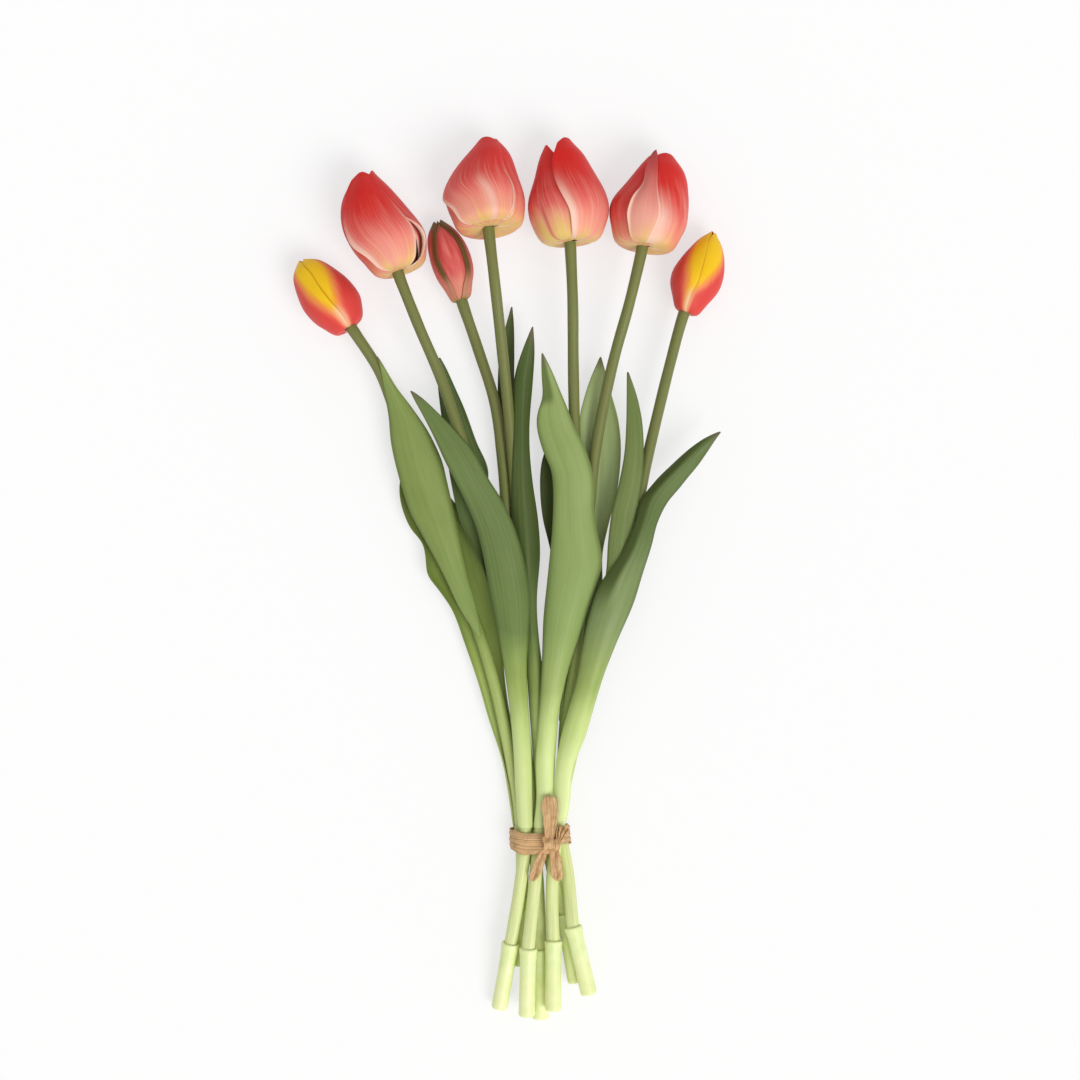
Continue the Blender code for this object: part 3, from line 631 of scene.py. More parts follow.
RED = [
    (0.0, "E6C068"), (0.06, "EAB06E"), (0.13, "EE8E74"), (0.26, "E6685E"), (0.4, "DF443C"),
    (0.55, "DA271F"), (1.0, "DA1A12")]
BLUSH = [
    (0.0, "E8C86C"), (0.06, "EDBC70"), (0.13, "F29C80"), (0.24, "EE8072"), (0.36, "E55E56"),
    (0.48, "DE3E37"), (0.6, "DB2821"), (0.8, "DA1D15"), (1.0, "DC1C14")]
BRIGHT = [
    (0.0, "E6C068"), (0.07, "EA9470"), (0.2, "E25A50"), (0.36, "DA322B"), (0.55, "D51C15"),
    (1.0, "D2150F")]
FOLDED = [
    (0.0, "E8CC70"), (0.1, "ECC070"), (0.2, "EE9C78"), (0.33, "E4605A"), (0.5, "DA2E28"), (1.0, "D81A13")]
DUSTY = [
    (0.0, "E8C870"), (0.07, "EEB47E"), (0.16, "F0A490"), (0.36, "E88E80"), (0.6, "DC6E66"),
    (0.8, "CE4844"), (1.0, "AE2E2C")]
INNER = [
    (0.0, "F0D496"), (0.25, "F4CDB2"), (0.5, "E8A08E"), (0.7, "D04A42"), (1.0, "BC2220")]

FLOWER_2 = Head(2, 57, 43, [
    (0, .4, .08), (.05, .62, .09), (.1, .75, .08), (.2, .88, .06), (.3, .95, .02), (.4, .94, -.05),
    (.5, .9, -.13), (.6, .84, -.18), (.7, .76, -.21), (.8, .66, -.22), (.9, .5, -.19), (1, .28, -.13)])
FLOWER_4 = Head(4, 53, 45, [
    (-.05, .45, .08), (0, .66, .06), (.05, .78, .06), (.1, .86, .04), (.2, .93, .03), (.3, .97, 0),
    (.4, .94, -.02), (.5, .85, .01), (.6, .75, .07), (.7, .64, .14), (.8, .5, .22), (.9, .31, .25),
    (1, .14, .27)])
FLOWER_5 = Head(5, 56, 43.5, [
    (0, .42, .02), (.05, .67, .03), (.1, .81, 0), (.2, .95, .01), (.3, .99, .02), (.4, .98, 0), (.5, .9, 0),
    (.6, .78, -.01), (.7, .68, -.03), (.8, .59, -.06), (.9, .47, -.07), (1, .25, -.14)])
FLOWER_6 = Head(6, 53, 42, [
    (0, .6, .03), (.05, .72, .03), (.1, .82, .02), (.2, .94, .02), (.3, 1, .02), (.4, .99, -.01),
    (.5, .92, .05), (.6, .81, .1), (.7, .72, .13), (.8, .62, .15), (.9, .48, .13), (1, .22, .06)])
BUD_1 = Head(1, 46, 29, [
    (0, .3, -.06), (.05, .52, -.04), (.1, .72, 0), (.2, .94, .02), (.3, 1, -.01), (.4, 1.01, -.04),
    (.5, 1, -.06), (.6, .92, -.07), (.7, .83, -.08), (.8, .72, -.09), (.9, .56, -.1), (.96, .38, -.09),
    (1, -.1, -.08)])
BUD_3 = Head(3, 46, 21, [
    (0, .3, -.09), (.05, .42, -.04), (.1, .57, .03), (.2, .77, .06), (.3, .93, .08), (.4, .97, .08),
    (.5, 1, .08), (.6, .95, .07), (.7, .89, .05), (.8, .77, .01), (.9, .54, -.01), (.96, .3, -.01),
    (1, .04, -.01)])
BUD_7 = Head(7, 47, 27, [
    (0, .28, .12), (.05, .38, .12), (.1, .56, .1), (.15, .72, .05), (.25, .9, .02), (.35, 1, .05),
    (.45, 1, .06), (.55, .93, .11), (.65, .83, .12), (.75, .69, .14), (.85, .52, .12), (.95, .28, .1),
    (1, -.04, .1)])


def petal_finishes():
    """The sprays that petals share: their colours from base to tip, how wide the pale margins are, how high
    they reach, a rib or fold, and a seed."""
    plans = {
        "inside": (INNER, 0.1, 0.1, 0.7, None, 3.1),
        "red": (RED, 0.05, 0.03, 0.45, None, 0.4),
        "blush": (BLUSH, 0.09, 0.06, 0.5, None, 1.7),
        "ribbed": (BLUSH, 0.06, 0.03, 0.5, (0.64, 0.06, 0.08, 0.5, 0.5, "F8D3BC"), 4.4),
        "dusty": (DUSTY, 0.08, 0.05, 0.6, None, 7.1),
        # A dark line of painted shade along the fold where flower_5's outer left petal bulges over the inner
        # one.
        "shaded_fold": (FOLDED, 0.03, 0.03, 0.4, (0.7, 0.02, 0.035, 0.46, 0.6, "B4322E"), 6.6),
        "streaked": (RED, 0.165, 0.03, 0.45, None, 5.9),
        "bright": (BRIGHT, 0.03, 0.03, 0.4, None, 2.9),
    }
    return {name: petal_material(f"latex_petal_{name}", *plan) for name, plan in plans.items()}


def moulded_in_one(name, head, inside, ruffle, seeds, plans):
    """Petals moulded in one piece, each with the finish of its outside and its plan."""
    petals = []
    for i, (outside, plan) in enumerate(plans):
        finishes = (outside, inside)
        petals.append(make_petal(f"{name}_{i}", head, finishes, ruffle=ruffle, seed=seeds[i], **plan))
    finish_piece(join(f"tulip_{name}", petals), name)


def make_flowers(finishes):
    inside = finishes["inside"]
    plans = {
        "flower_2_front_petal": (FLOWER_2, "blush", dict(
            left=[(0, 128), (.1, 130), (.2, 141), (.3, 149), (.4, 152), (.5, 150), (.6, 143), (.72, 137),
                  (.86, 132), (1, 120)],
            right=[(0, 60), (.04, 51), (.13, 44), (.26, 42), (.44, 44), (.62, 47), (.93, 56), (1, 62)],
            under=(1.6, .4), corner=.06, bow=.5, curl=("left", .09, 95, .06, .44), seed=.3)),
        "flower_2_right_petal": (FLOWER_2, "red", dict(
            left=[(0, 50), (.07, 46), (.13, 36), (.25, 36), (.36, 50), (.5, 56), (.62, 62), (.8, 68),
                  (1, 76)],
            right=[(0, -112), (.2, -108), (.5, -104), (1, -84)],
            under=(-.2, -.6), reach=1.02, corner=.1, bow=.4, curl=("left", .085, 140, .02, .46), seed=1.1)),
        "flower_2_left_petal": (FLOWER_2, "bright", dict(
            left=[(0, 255), (.2, 262), (.6, 262), (1, 250)],
            right=[(0, 112), (.2, 116), (.5, 118), (.8, 112), (1, 110)],
            under=(0.4, -1.9), reach=.95, corner=.14, bow=.8, seed=2.2)),
        "flower_4_front_petal": (FLOWER_4, "ribbed", dict(
            left=[(-.05, 165), (0, 150), (.08, 140), (.17, 149), (.25, 158), (.34, 176), (.5, 182),
                  (.85, 180), (1, 160)],
            right=[(0, 42), (.1, 44), (.22, 43), (.4, 45), (.64, 52), (.8, 50), (1, 60)],
            under=(1.1, .5), reach=.97, corner=.05, bow=.4, curl=("left", .07, 60, .06, .34), seed=4.1)),
        "flower_4_right_petal": (FLOWER_4, "red", dict(
            left=[(0, 58), (.12, 51), (.22, 49), (.4, 53), (.64, 65), (.8, 68), (1, 74)],
            right=[(0, -112), (.2, -110), (.5, -106), (1, -86)],
            under=(-.3, -.5), reach=.97, corner=.08, bow=.5, curl=("left", .045, 100, .03, .62), seed=5.3)),
        "flower_4_left_petal": (FLOWER_4, "bright", dict(
            left=[(0, 255), (.2, 262), (.6, 262), (1, 250)],
            right=[(0, 118), (.2, 135), (.5, 160), (1, 160)],
            under=(0, -.9), reach=.9, corner=.16, bow=.4, seed=6.0)),
        "flower_5_front_petal": (FLOWER_5, "blush", dict(
            left=[(0, 88), (.06, 88), (.15, 87), (.27, 93), (.43, 103), (.6, 113), (.77, 115), (.94, 100),
                  (1, 92)],
            right=[(0, -20), (.2, -42), (.5, -52), (.8, -50), (1, -20)],
            under=(1.1, .3), reach=1.02, corner=.07, bow=.4, curl=("left", .04, 80, .08, .9), seed=.9)),
        "flower_5_left_petal": (FLOWER_5, "shaded_fold", dict(
            left=[(0, 240), (.2, 250), (.6, 250), (1, 235)],
            right=[(0, 76), (.1, 76), (.27, 80), (.43, 90), (.6, 100), (.8, 106), (1, 112)],
            under=(0.2, -.3), reach=.97, corner=.15, bow=.5, seed=1.9)),
        "flower_5_right_petal": (FLOWER_5, "bright", dict(
            left=[(0, -10), (.2, -20), (.6, -28), (1, -10)],
            right=[(0, -126), (.2, -130), (.6, -132), (1, -110)],
            under=(-.9, .6), reach=.94, corner=.14, bow=.5, seed=3.3)),
        "flower_6_front_petal": (FLOWER_6, "dusty", dict(
            left=[(0, 120), (.08, 118), (.17, 126), (.37, 119), (.53, 112), (.65, 118), (.83, 130),
                  (1, 134)],
            right=[(0, 92), (.05, 86), (.17, 73), (.37, 77), (.61, 92), (.87, 104), (.93, 108), (1, 112)],
            under=(1.1, .9), reach=1.01, corner=.05, bow=.5, curl=("left", .12, 85, .08, .6), seed=7.7)),
        "flower_6_right_petal": (FLOWER_6, "streaked", dict(
            left=[(0, 104), (.05, 100), (.17, 90), (.37, 94), (.61, 108), (.87, 118), (1, 124)],
            right=[(0, -126), (.12, -118), (.3, -112), (.6, -100), (1, -40)],
            under=(-.3, .9), reach=1, corner=.07, bow=.7, seed=8.3)),
        "flower_6_left_petal": (FLOWER_6, "bright", dict(
            left=[(0, 240), (.2, 255), (.6, 255), (1, 240)],
            right=[(0, 106), (.17, 112), (.37, 106), (.53, 98), (.65, 104), (.83, 116), (1, 122)],
            under=(0.5, -.8), reach=.96, corner=.1, bow=.6, seed=9.1)),
    }
    for name, (head, finish, plan) in plans.items():
        piece = make_petal(f"tulip_{name}", head, (finishes[finish], inside), **plan)
        finish_piece(piece, name)
    inner = [(FLOWER_2, [(95, 130), (215, 130), (335, 130)], .93, -2.2),
             (FLOWER_4, [(80, 130), (200, 130), (320, 130)], .86, -2.2),
             (FLOWER_5, [(122, 96), (225, 130), (345, 130)], .93, -2.2),
             (FLOWER_6, [(100, 120), (195, 130), (325, 130)], .9, -2.4)]
    for head, turns, reach, off in inner:
        plans = []
        for i, (centre, spread) in enumerate(turns):
            left, right = ([(0, centre + half * .7), (.4, centre + half), (1, centre + half * .8)]
                           for half in (spread / 2, -spread / 2))
            plans.append((finishes["red" if i else "bright"], dict(
                left=left, right=right, under=(off - .5, off + .5), reach=reach, corner=.13, bow=.5,
                close=(.98 if i else .6, .66))))
        seeds = [i * 1.3 + head.number for i in range(3)]
        moulded_in_one(f"flower_{head.number}_inner_petals", head, inside, .3, seeds, plans)


def make_half_open_bud(head, finishes, bands, seam):
    """Two petals that meet at a seam facing up, the left one over the right one's edge, and one behind them.
    bands are the yellow's width, start and spread on the left petal and on the right one."""
    name = f"bud_{head.number}_petals"
    left = bud_material(f"latex_{name}_right", "right", bands[0])
    right = bud_material(f"latex_{name}_left", "left", bands[1])
    seeds = [head.number + i for i in range(3)]
    moulded_in_one(name, head, finishes["inside"], .2, seeds, [
        (left, dict(left=[(0, 300), (1, 300)], right=seam, under=(.3, .55), corner=.04, bow=.4, reach=1.01)),
        (right, dict(left=[(s, a + 8) for s, a in seam], right=[(0, -120), (1, -120)], under=(-.25, -.3),
                     corner=.05, bow=.5)),
        (finishes["red"], dict(left=[(0, 332), (.5, 340), (1, 442)], right=[(0, 208), (.5, 200), (1, 98)],
                               under=(-1, -1), corner=.03, bow=.3, reach=.985, close=(.98, .88)))])


def make_tight_bud(head, finishes):
    """A centre petal held between two side petals whose edges are olive, and one behind."""
    name = f"bud_{head.number}_petals"
    margins = ((.05, .05), (.02, .13), (.14, .02), (.1, .1))
    coats = [tight_bud_material(f"latex_{name}_{i}", *margin) for i, margin in enumerate(margins)]
    plans = [
        dict(left=[(0, 125), (.3, 130), (.56, 140), (.9, 120), (1, 110)],
             right=[(0, 70), (.2, 36), (.6, 36), (.9, 54), (1, 70)], under=(-.8, -.8), bow=.9, corner=.06),
        dict(left=[(0, 270), (1, 270)],
             right=[(0, 113), (.115, 113), (.26, 117), (.55, 128), (.88, 106), (1, 95)],
             under=(0, .5), bow=.5, corner=.05),
        dict(left=[(0, 88), (.1, 82), (.2, 50), (.42, 51), (.67, 50), (.88, 66), (1, 88)],
             right=[(0, -90), (1, -90)], under=(.7, 0), bow=.5, corner=.05),
        dict(left=[(0, 320), (.5, 326), (1, 430)], right=[(0, 220), (.5, 214), (1, 110)], under=(-.9, -.9),
             corner=.03, bow=.3, reach=.97, close=(.98, .86))]
    moulded_in_one(name, head, finishes["inside"], .15, (0, 2, 4, 6), list(zip(coats, plans)))


# Leaves: stem, side of it, layer, places of the sheath along it, then rows of the left edge, the right edge,
# the lift off the stem and the channel's half angle, in millimetres on the layout, from the base up. The
# layout lies SHIFT from the part's own origin.

SHIFT = np.array((-0.857, -2.765, -0.1)) * MM
SHEATH_GAP = 0.9 * MM
SHEATH_WRAP = 125
SHEATH_ROOM = (0.25, 0.85, 1.1)

LEAVES = {
    "leaf_1_front": (1, 1, 1, (), [
        (-16.8, -29.3, -15.7, -29.3, 0, 118), (-21.1, -23.3, -16.5, -21.1, 0, 101),
        (-27.6, -13, -18.7, -10.8, 0, 73), (-35.2, 2.7, -22.2, 1.6, 0.2, 53),
        (-42.3, 16.3, -24.9, 14.6, 0.4, 44), (-48.8, 28.2, -27.9, 29.3, 0.5, 39),
        (-54.7, 39.6, -30.9, 42.3, 0.5, 37), (-60.7, 59.1, -33.9, 55.3, 0.5, 34),
        (-64.5, 75.9, -37.1, 67.7, 0.5, 33), (-65.8, 91, -44.4, 82.9, 0.4, 32),
        (-68, 104, -53.1, 95.4, 0, 30), (-69.6, 113.8, -62, 106.7, 0, 29), (-70.7, 119.7, -68, 117, 0, 28),
        (-71.6, 123, -71.1, 122.4, 0, 28)]),
    "leaf_1_sheath": (1, -1, 1, (-134, -114), [
        (-3.8, -97, 5.4, -97, 0, 109), (-11.4, -73.7, 0, -71.5, -0.2, 79),
        (-16.8, -55.3, -2.6, -52.6, -0.5, 61), (-24.6, -33, -4.2, -30.9, -0.9, 48),
        (-30.9, -15.7, -6.2, -15.7, -1.1, 41), (-37.9, -4.9, -8.6, -3.8, -1.3, 37),
        (-44.7, 4.3, -10.4, 6, -1.6, 33), (-45.8, 13.5, -12.2, 14.6, -1.8, 30),
        (-47.7, 21.7, -15, 23.3, -1.9, 28), (-54.2, 29.8, -20.1, 32.5, -2, 26),
        (-58.2, 39, -26.5, 40.1, -2.3, 26), (-60.1, 47.7, -32.5, 47.1, -2.5, 26),
        (-59.6, 56.9, -37.4, 55.8, -2.8, 25), (-54.7, 65.6, -43.9, 64.5, -3.2, 25),
        (-49.8, 74.2, -49.3, 74.2, -3.5, 24)]),
    "leaf_2_front": (2, 1, 1, (-134, -114), [
        (2.5, -90.5, 11.6, -90.5, 0, 107), (0.4, -68.3, 10.3, -68.3, 0.1, 86),
        (-3.1, -43.9, 9.5, -47.1, 0.2, 64), (-7, -23.3, 10.8, -25.5, 0.5, 50),
        (-10.8, -4.9, 11.6, -9.2, 0.7, 41), (-14.3, 14.6, 8.4, 11.4, 0.8, 35),
        (-17.9, 29.3, 3.5, 28.7, 0.8, 33), (-24.1, 44.4, -3.3, 43.9, 1.1, 31),
        (-30, 56.3, -10.8, 55.8, 1.6, 28), (-35.4, 67.2, -19, 71, 1.9, 28),
        (-40.7, 79.1, -29.3, 82.9, 1.6, 28), (-46.7, 91, -39, 92.6, 1, 28),
        (-51.5, 99.7, -47.1, 100.2, 0.3, 28), (-53.4, 104, -52.9, 104, 0, 28)]),
    "leaf_2_back": (2, -1, 1, (-40, -24), [
        (-14, 7, -1.5, 9, -0.6, 66), (-21.5, 22, -7, 26, -1.2, 48), (-27.1, 34.1, -12.5, 39.6, -1.8, 36),
        (-32, 55.8, -11.4, 61.2, -3, 28), (-35.2, 77.5, -17.9, 76.9, -4.5, 26),
        (-37.4, 92.6, -23.8, 93.2, -5.9, 26), (-39, 107.3, -30, 107.3, -7.4, 27),
        (-39.6, 117.6, -34.7, 117.6, -8.5, 28), (-38.4, 123, -37.9, 123, -9, 28)]),
    "leaf_4_front": (4, 1, 1, (-134, -100, -58), [
        (8.9, -33.6, 16, -30.9, 0, 81), (6.5, -9.2, 14.9, -9.2, 0.3, 62), (2.2, 14.6, 16.8, 15.2, 0.7, 45),
        (1.1, 34.1, 15.7, 34.1, 1.4, 37), (1.4, 54.7, 12.7, 54.7, 1.6, 32), (2.2, 71, 11.1, 72.1, 1.6, 30),
        (2.7, 88.3, 11.1, 88.3, -0.5, 31), (2.7, 110, 13, 111.1, -3.4, 31),
        (7, 125.2, 13.8, 126.2, -5.7, 29), (12.5, 138.7, 13, 139, -8, 28)]),
    "leaf_5_front": (5, 1, 1, (-134, -118), [
        (14.6, -97, 24.7, -95.9, 0, 112), (15.7, -82.4, 25.7, -82.4, 0, 100),
        (16.8, -66.1, 27.1, -68.8, 0.1, 88), (17.9, -41.7, 32.5, -46.1, 0.2, 68),
        (18.6, -19, 40.1, -23.3, 0.4, 52), (20.6, 1.1, 47.7, -0.5, 0.8, 42), (21.9, 14.1, 50.7, 11.4, 1, 39),
        (23.3, 30.3, 47.9, 28.2, 1.2, 36), (23.8, 46.6, 46.1, 41.7, 1.2, 35),
        (22.8, 60.1, 46.1, 55.8, 1.3, 34), (18.2, 71.5, 41.7, 72.1, 1.7, 32),
        (14.9, 84.5, 35.5, 84.5, 2, 31), (15.7, 93.2, 30.9, 96.4, 2.2, 30),
        (18.2, 100.2, 27.6, 104, 1.7, 30), (17.9, 107.8, 24.7, 111.1, 1.2, 30),
        (17.5, 116.5, 21.7, 117.6, 0.5, 29), (17.6, 124.1, 18.1, 124.3, 0, 28)]),
    "leaf_5_back": (5, -1, 1, (-36, -20), [
        (24.8, 6, 37, 6, -1, 70), (21.7, 20.6, 36.5, 20.6, -2, 42), (18.4, 34.1, 36, 34.1, -3, 28),
        (16.8, 49.3, 35, 50.4, -3.6, 25), (17.3, 63.9, 33, 65, -3.9, 25), (20.6, 74.8, 30, 75.9, -3.9, 27),
        (25.5, 82.4, 26, 82.4, -4, 28)]),
    "leaf_6_back": (6, -1, 1, (-76, -60), [
        (34.5, -33.6, 46, -33.6, 0, 80), (38.8, -9.2, 50.8, -8.1, -0.2, 58),
        (42.8, 12.5, 50.9, 15.2, -0.6, 38), (41.2, 34.1, 54.2, 31.4, -1.0, 29),
        (39.6, 55.8, 59.1, 50.9, -1.6, 26), (38.5, 77.5, 61, 72.1, -2.6, 24),
        (38.5, 91, 59.6, 88.3, -3.4, 24), (40.6, 100.2, 56.3, 100.8, -4.2, 24),
        (44.4, 111.6, 53.1, 112.7, -5.4, 26), (49.6, 123.3, 50.1, 123.3, -6.5, 28)]),
    "leaf_7_inner": (7, 1, 1, (-46, -30), [
        (51.6, -3.8, 62.5, -3.8, 0, 80), (53.1, 9.8, 65, 10.8, 0.3, 56), (53.6, 21.7, 66.5, 21.7, 1, 40),
        (55.5, 37.9, 68.5, 36.8, 1.9, 31), (59.3, 53.6, 71.5, 51.5, 2.3, 28),
        (62.3, 69.4, 72.9, 67.7, 1.8, 27), (63.4, 85.6, 72.3, 85.6, 0.6, 26),
        (63.7, 99.1, 69.7, 99.7, -0.8, 26), (63.9, 108.4, 66.4, 110, -2.4, 27),
        (64.1, 114.6, 64.6, 114.6, -3, 28)]),
    "leaf_7_outer": (7, 1, 1.5, (-134, -120), [
        (25.5, -100.2, 34.4, -101.3, 0, 120), (28.7, -82.9, 41.2, -84, 0, 103),
        (33, -67.7, 46.3, -66.6, 0.2, 91), (36.8, -53.6, 51.2, -50.9, 0.4, 80),
        (39.6, -36.3, 56.9, -36.3, 0.8, 67), (42.3, -22.8, 62.8, -22.8, 2, 55),
        (46.6, -7.6, 68.3, -9.8, 3.3, 42), (52.6, 3.8, 73.4, 6.5, 4.9, 32), (61.2, 16.3, 77.2, 20, 5.6, 27),
        (67.7, 30.9, 80.2, 33, 5.1, 27), (71.5, 45.5, 86.1, 45, 3.2, 32), (78.3, 54.7, 94.3, 54.7, 1.3, 35),
        (87.8, 63.9, 101.9, 63.4, 0.6, 32), (97.5, 72.6, 107.3, 71, 0.1, 30),
        (106.2, 78.6, 111.1, 76.7, -0.5, 29), (114.3, 82.1, 114.8, 81.8, -1, 28)]),
    "leaf_3_back": (3, -1, 1.2, (-40, -24), [
        (-4.3, -1.8, 4.2, -1.8, -1, 80), (-4.9, 23.3, 2.7, 23.3, -2.2, 36), (-5.4, 45, 4.3, 45, -2.4, 30),
        (-6, 77.5, 3.8, 77.5, -2.8, 26), (-6.5, 104.6, 2.7, 104.6, -3.1, 24),
        (-5.4, 126.2, 2.7, 126.2, -3.4, 24), (-2.2, 139.8, 2.4, 141.4, -3.8, 26),
        (1.1, 151.2, 1.5, 151.2, -4, 28)]),
}


def leaf_rows(stem_number, side, layer, sheath, edges):
    """Rows of a leaf in metres: its crown, half the way from its left edge to its right, its half angle."""
    stem = STEMS[stem_number]
    wrap = layer * (SHEATH_GAP + LEAF_THICKNESS) - LEAF_THICKNESS / 2
    limit = SHEATH_WRAP if sheath else 50
    rows = []
    for y, room in zip(sheath, SHEATH_ROOM):
        centre = stem.at(y * MM + SHIFT[1])
        radius = stem.radius(centre[1]) + room * MM
        rows.append((centre[0], centre[1], centre[2] + side * radius, radius, 0, SHEATH_WRAP))
    for left_x, left_y, right_x, right_y, lift, angle in edges:
        place = (left_y + right_y) / 2 * MM + SHIFT[1]
        crown = stem.at(place)[2] + side * (stem.radius(place) + wrap) + lift * MM
        rows.append(((left_x + right_x) / 2 * MM + SHIFT[0], place, crown, (right_x - left_x) / 2 * MM,
                     (right_y - left_y) / 2 * MM, min(angle, limit)))
    return rows


def make_leaf(name, plan, material, wave, crease, seed):
    """A leaf lofted between its two edges, from the sheath that clasps its stem to its narrow tip. Its edges
    wave a little, and crease is (where across, depth, from, to) of a fold along it."""
    side = plan[1]
    count = 65
    stations = smooth(leaf_rows(*plan), count)
    across = np.column_stack((stations[:, 3:5], np.zeros(count)))
    half = np.linalg.norm(across, axis=1)
    across /= half[:, None]
    half = np.maximum(half, 0.3 * MM)
    out = np.cross(across, np.gradient(stations[:, :3], axis=0)) * side
    out /= np.linalg.norm(out, axis=1)[:, None]

    def surface(u, v):
        row = np.rint(v * (count - 1)).astype(int)
        share = 2 * u - 1
        bend = np.radians(np.maximum(stations[row, 5], 1))
        radius = half[row] / np.sin(np.minimum(bend, math.pi / 2))
        drop = radius * (1 - np.cos(share * bend))
        if crease:
            where, depth, low, high = crease
            held = np.clip((v - low) / 0.08, 0, 1) * np.clip((high - v) / 0.08, 0, 1)
            drop += depth * half[row] * held * (np.sqrt((share - where) ** 2 + 0.006) - abs(where))
        freedom = np.clip((v - 0.2) / 0.15, 0, 1) * np.minimum((1 - v) / 0.1, 1)
        drop += wave * MM * share ** 2 * freedom * np.sin(19 * v + seed + np.where(share > 0, 1.7, 0))
        drop -= 0.2 * MM * np.exp(-(share / 0.1) ** 2) * freedom
        aside = radius * np.sin(share * bend)
        return stations[row, :3] + across[row] * aside[:, None] - out[row] * drop[:, None]

    piece = sheet_of(f"tulip_{name}", 14, count - 1, surface)
    if side < 0:
        only(piece)
        bpy.ops.object.mode_set(mode="EDIT")
        bpy.ops.mesh.select_all(action="SELECT")
        bpy.ops.mesh.flip_normals()
        bpy.ops.object.mode_set(mode="OBJECT")
    piece.data.materials.append(material)
    give_wall(piece, LEAF_THICKNESS, 0)
    finish_piece(piece, name)


def make_leaves():
    """Each leaf with how far its edges wave, its crease and its seed, then its own spray: the greens at the
    top, in the middle and low down, the shade of its edges, and on some a darker part, which on leaf_4_front
    and leaf_7_outer is painted shade above the crease."""
    looks = {
        "leaf_1_front": (.5, None, .4, "8C9E56", "8FA45C", "A6B86C", "8C9860"),
        "leaf_1_sheath": (1.0, None, 1.8, "7A8E3C", "98AC5A", "BED078", "98A468"),
        "leaf_2_front": (.5, None, 2.2, "6E8248", "6E8344", "A6BA64", "8A9866"),
        "leaf_2_back": (.4, None, 3.1, "60743E", "5C703A", "8FA35A", "7F8C5A"),
        "leaf_3_back": (.2, None, .9, "55652F", "55682F", "8FA35A", "7F8C5A"),
        # leaf_4_front's darker part is painted shade on the facet above its crease.
        "leaf_4_front": (.3, (.1, .35, .42, .98), 4.2, "54672E", "627638", "9FB464", "86925A",
                         (0.5, 0.66, 0.45, 0.55, "44531F")),
        "leaf_5_front": (.6, None, 5.0, "98AB68", "97AE66", "ADC074", "93A068",
                         (0.7, 0.45, 0.885, 0.91, "5E7036")),
        "leaf_5_back": (.2, None, .3, "45561F", "4C5F28", "80944C", "7F8C5A"),
        # leaf_6_back's greens are lightened to make up for the shade it lies in: painted light.
        "leaf_6_back": (.4, None, 2.0, "BACC90", "AEC07C", "B0C274", "A6B27C"),
        "leaf_7_inner": (.3, None, 1.0, "76864A", "8A9C5A", "98AA62", "8C9860"),
        # leaf_7_outer's darker part is painted shade on the facet above its crease.
        "leaf_7_outer": (.3, (-.2, .5, .5, .97), 3.0, "60733A", "889A62", "A9BC6C", "8E9C62",
                         (0.42, 0.3, 0.5, 0.6, "4A5C24")),
    }
    for name, (wave, crease, seed, *spray) in looks.items():
        make_leaf(name, LEAVES[name], leaf_material(f"latex_{name}", seed, *spray), wave, crease, seed)


# The raffia tie: flat strips, each laid by its place across and along, in millimetres off the knot.

CRUMPLE_DRAW = 1
KNOT_X = 22.4
KNOT_Y = TIE_Y / MM - 1.4
TURNS = 2.04
FIRST_TURN = math.radians(62)
LOOP_LENGTH = 25
TAIL_LENGTH = 18.5


def bundle_edge(angle, y, reach):
    """The point of the bundle's outline that faces an angle, at a given y and distance off the stems."""
    facing = np.array((math.cos(angle), 0, math.sin(angle)))
    ends = [(stem.at(y), stem.radius(y)) for stem in STEMS.values()]
    centre, radius = max(ends, key=lambda item: item[0] @ facing + item[1])
    return centre + facing * (radius + reach)


TIE_TOP = bundle_edge(math.pi / 2, TIE_Y, 2.4 * MM)[2] / MM


def raffia_strip(name, across, along, place, thickness, crumple, material):
    """A strip whose points place gives, moved a little by smooth noise: crumple is its size, its fineness
    and its seed."""
    size, fineness, seed = crumple

    def crumpled(u, v):
        points = np.array([place(a, b) for a, b in zip(u, v)]) * MM
        shifts = [noise.noise_vector(Vector(p) * fineness + Vector((seed, seed * 2, 0))) for p in points]
        return points + np.array(shifts) * size * MM

    piece = sheet_of(name, across, along, crumpled)
    piece.data.materials.append(material)
    give_wall(piece, thickness * MM, 0)
    return piece


def band_place(a, b):
    """Two loose turns round the stems, pleated, a little lower at the start than at the end."""
    angle = FIRST_TURN + b * TURNS * math.tau
    middle = -3.9 + (5.6 * TURNS - 2.2) * b
    half = 3.1 + 0.5 * math.sin(9 * b + 1) + 0.3 * math.sin(23 * b)
    fold = 0.55 * math.sin(a * 11 + 6 * b) + 0.35 * math.sin(34 * b + 5 * a) + 0.25 * math.sin(a * 23 + 2)
    lobe = 1.3 * math.exp(-((math.degrees(angle) % 360 - 165) / 40) ** 2)
    y = TIE_Y + (middle + (1 - 2 * a) * half) * MM
    return bundle_edge(angle, y, (1.35 + 0.4 * fold + lobe) * MM) / MM


def knot_place(a, b):
    """A wrap of one turn and a quarter, waisted in the middle."""
    turn = math.tau * b * 1.25 - 0.6
    reach = 2.9 + 0.6 * math.sin(3 * b * math.tau)
    waist = 1 - 0.2 * math.cos((a - 0.5) * 5) + 0.12 * math.sin(a * 17 + 3 * b)
    return (KNOT_X + (a - 0.5) * (9.4 + 1.3 * math.cos(turn)), KNOT_Y + reach * waist * math.cos(turn),
            TIE_TOP + 1.8 + 2.4 * waist * math.sin(turn))


def gather_place(a, b):
    """The strip's bunched end, which fans out to the upper right of the knot."""
    spread = (2.0 + 4.6 * b) * (1 - 0.25 * b * (2 * a - 1) ** 2)
    lean = math.radians(62 - 26 * (a - 0.5))
    pleat = 0.9 * math.sin(a * 21 + 1) * min(2 * b, 1)
    return (KNOT_X + 3.4 + b * 6.2 * math.cos(lean) + (a - 0.5) * spread,
            KNOT_Y + 1.0 + b * 9.5 * math.sin(lean) - 1.2 * (2 * a - 1) ** 2 * b,
            TIE_TOP + 1.2 + pleat + 1.2 * math.sin(math.pi * b))


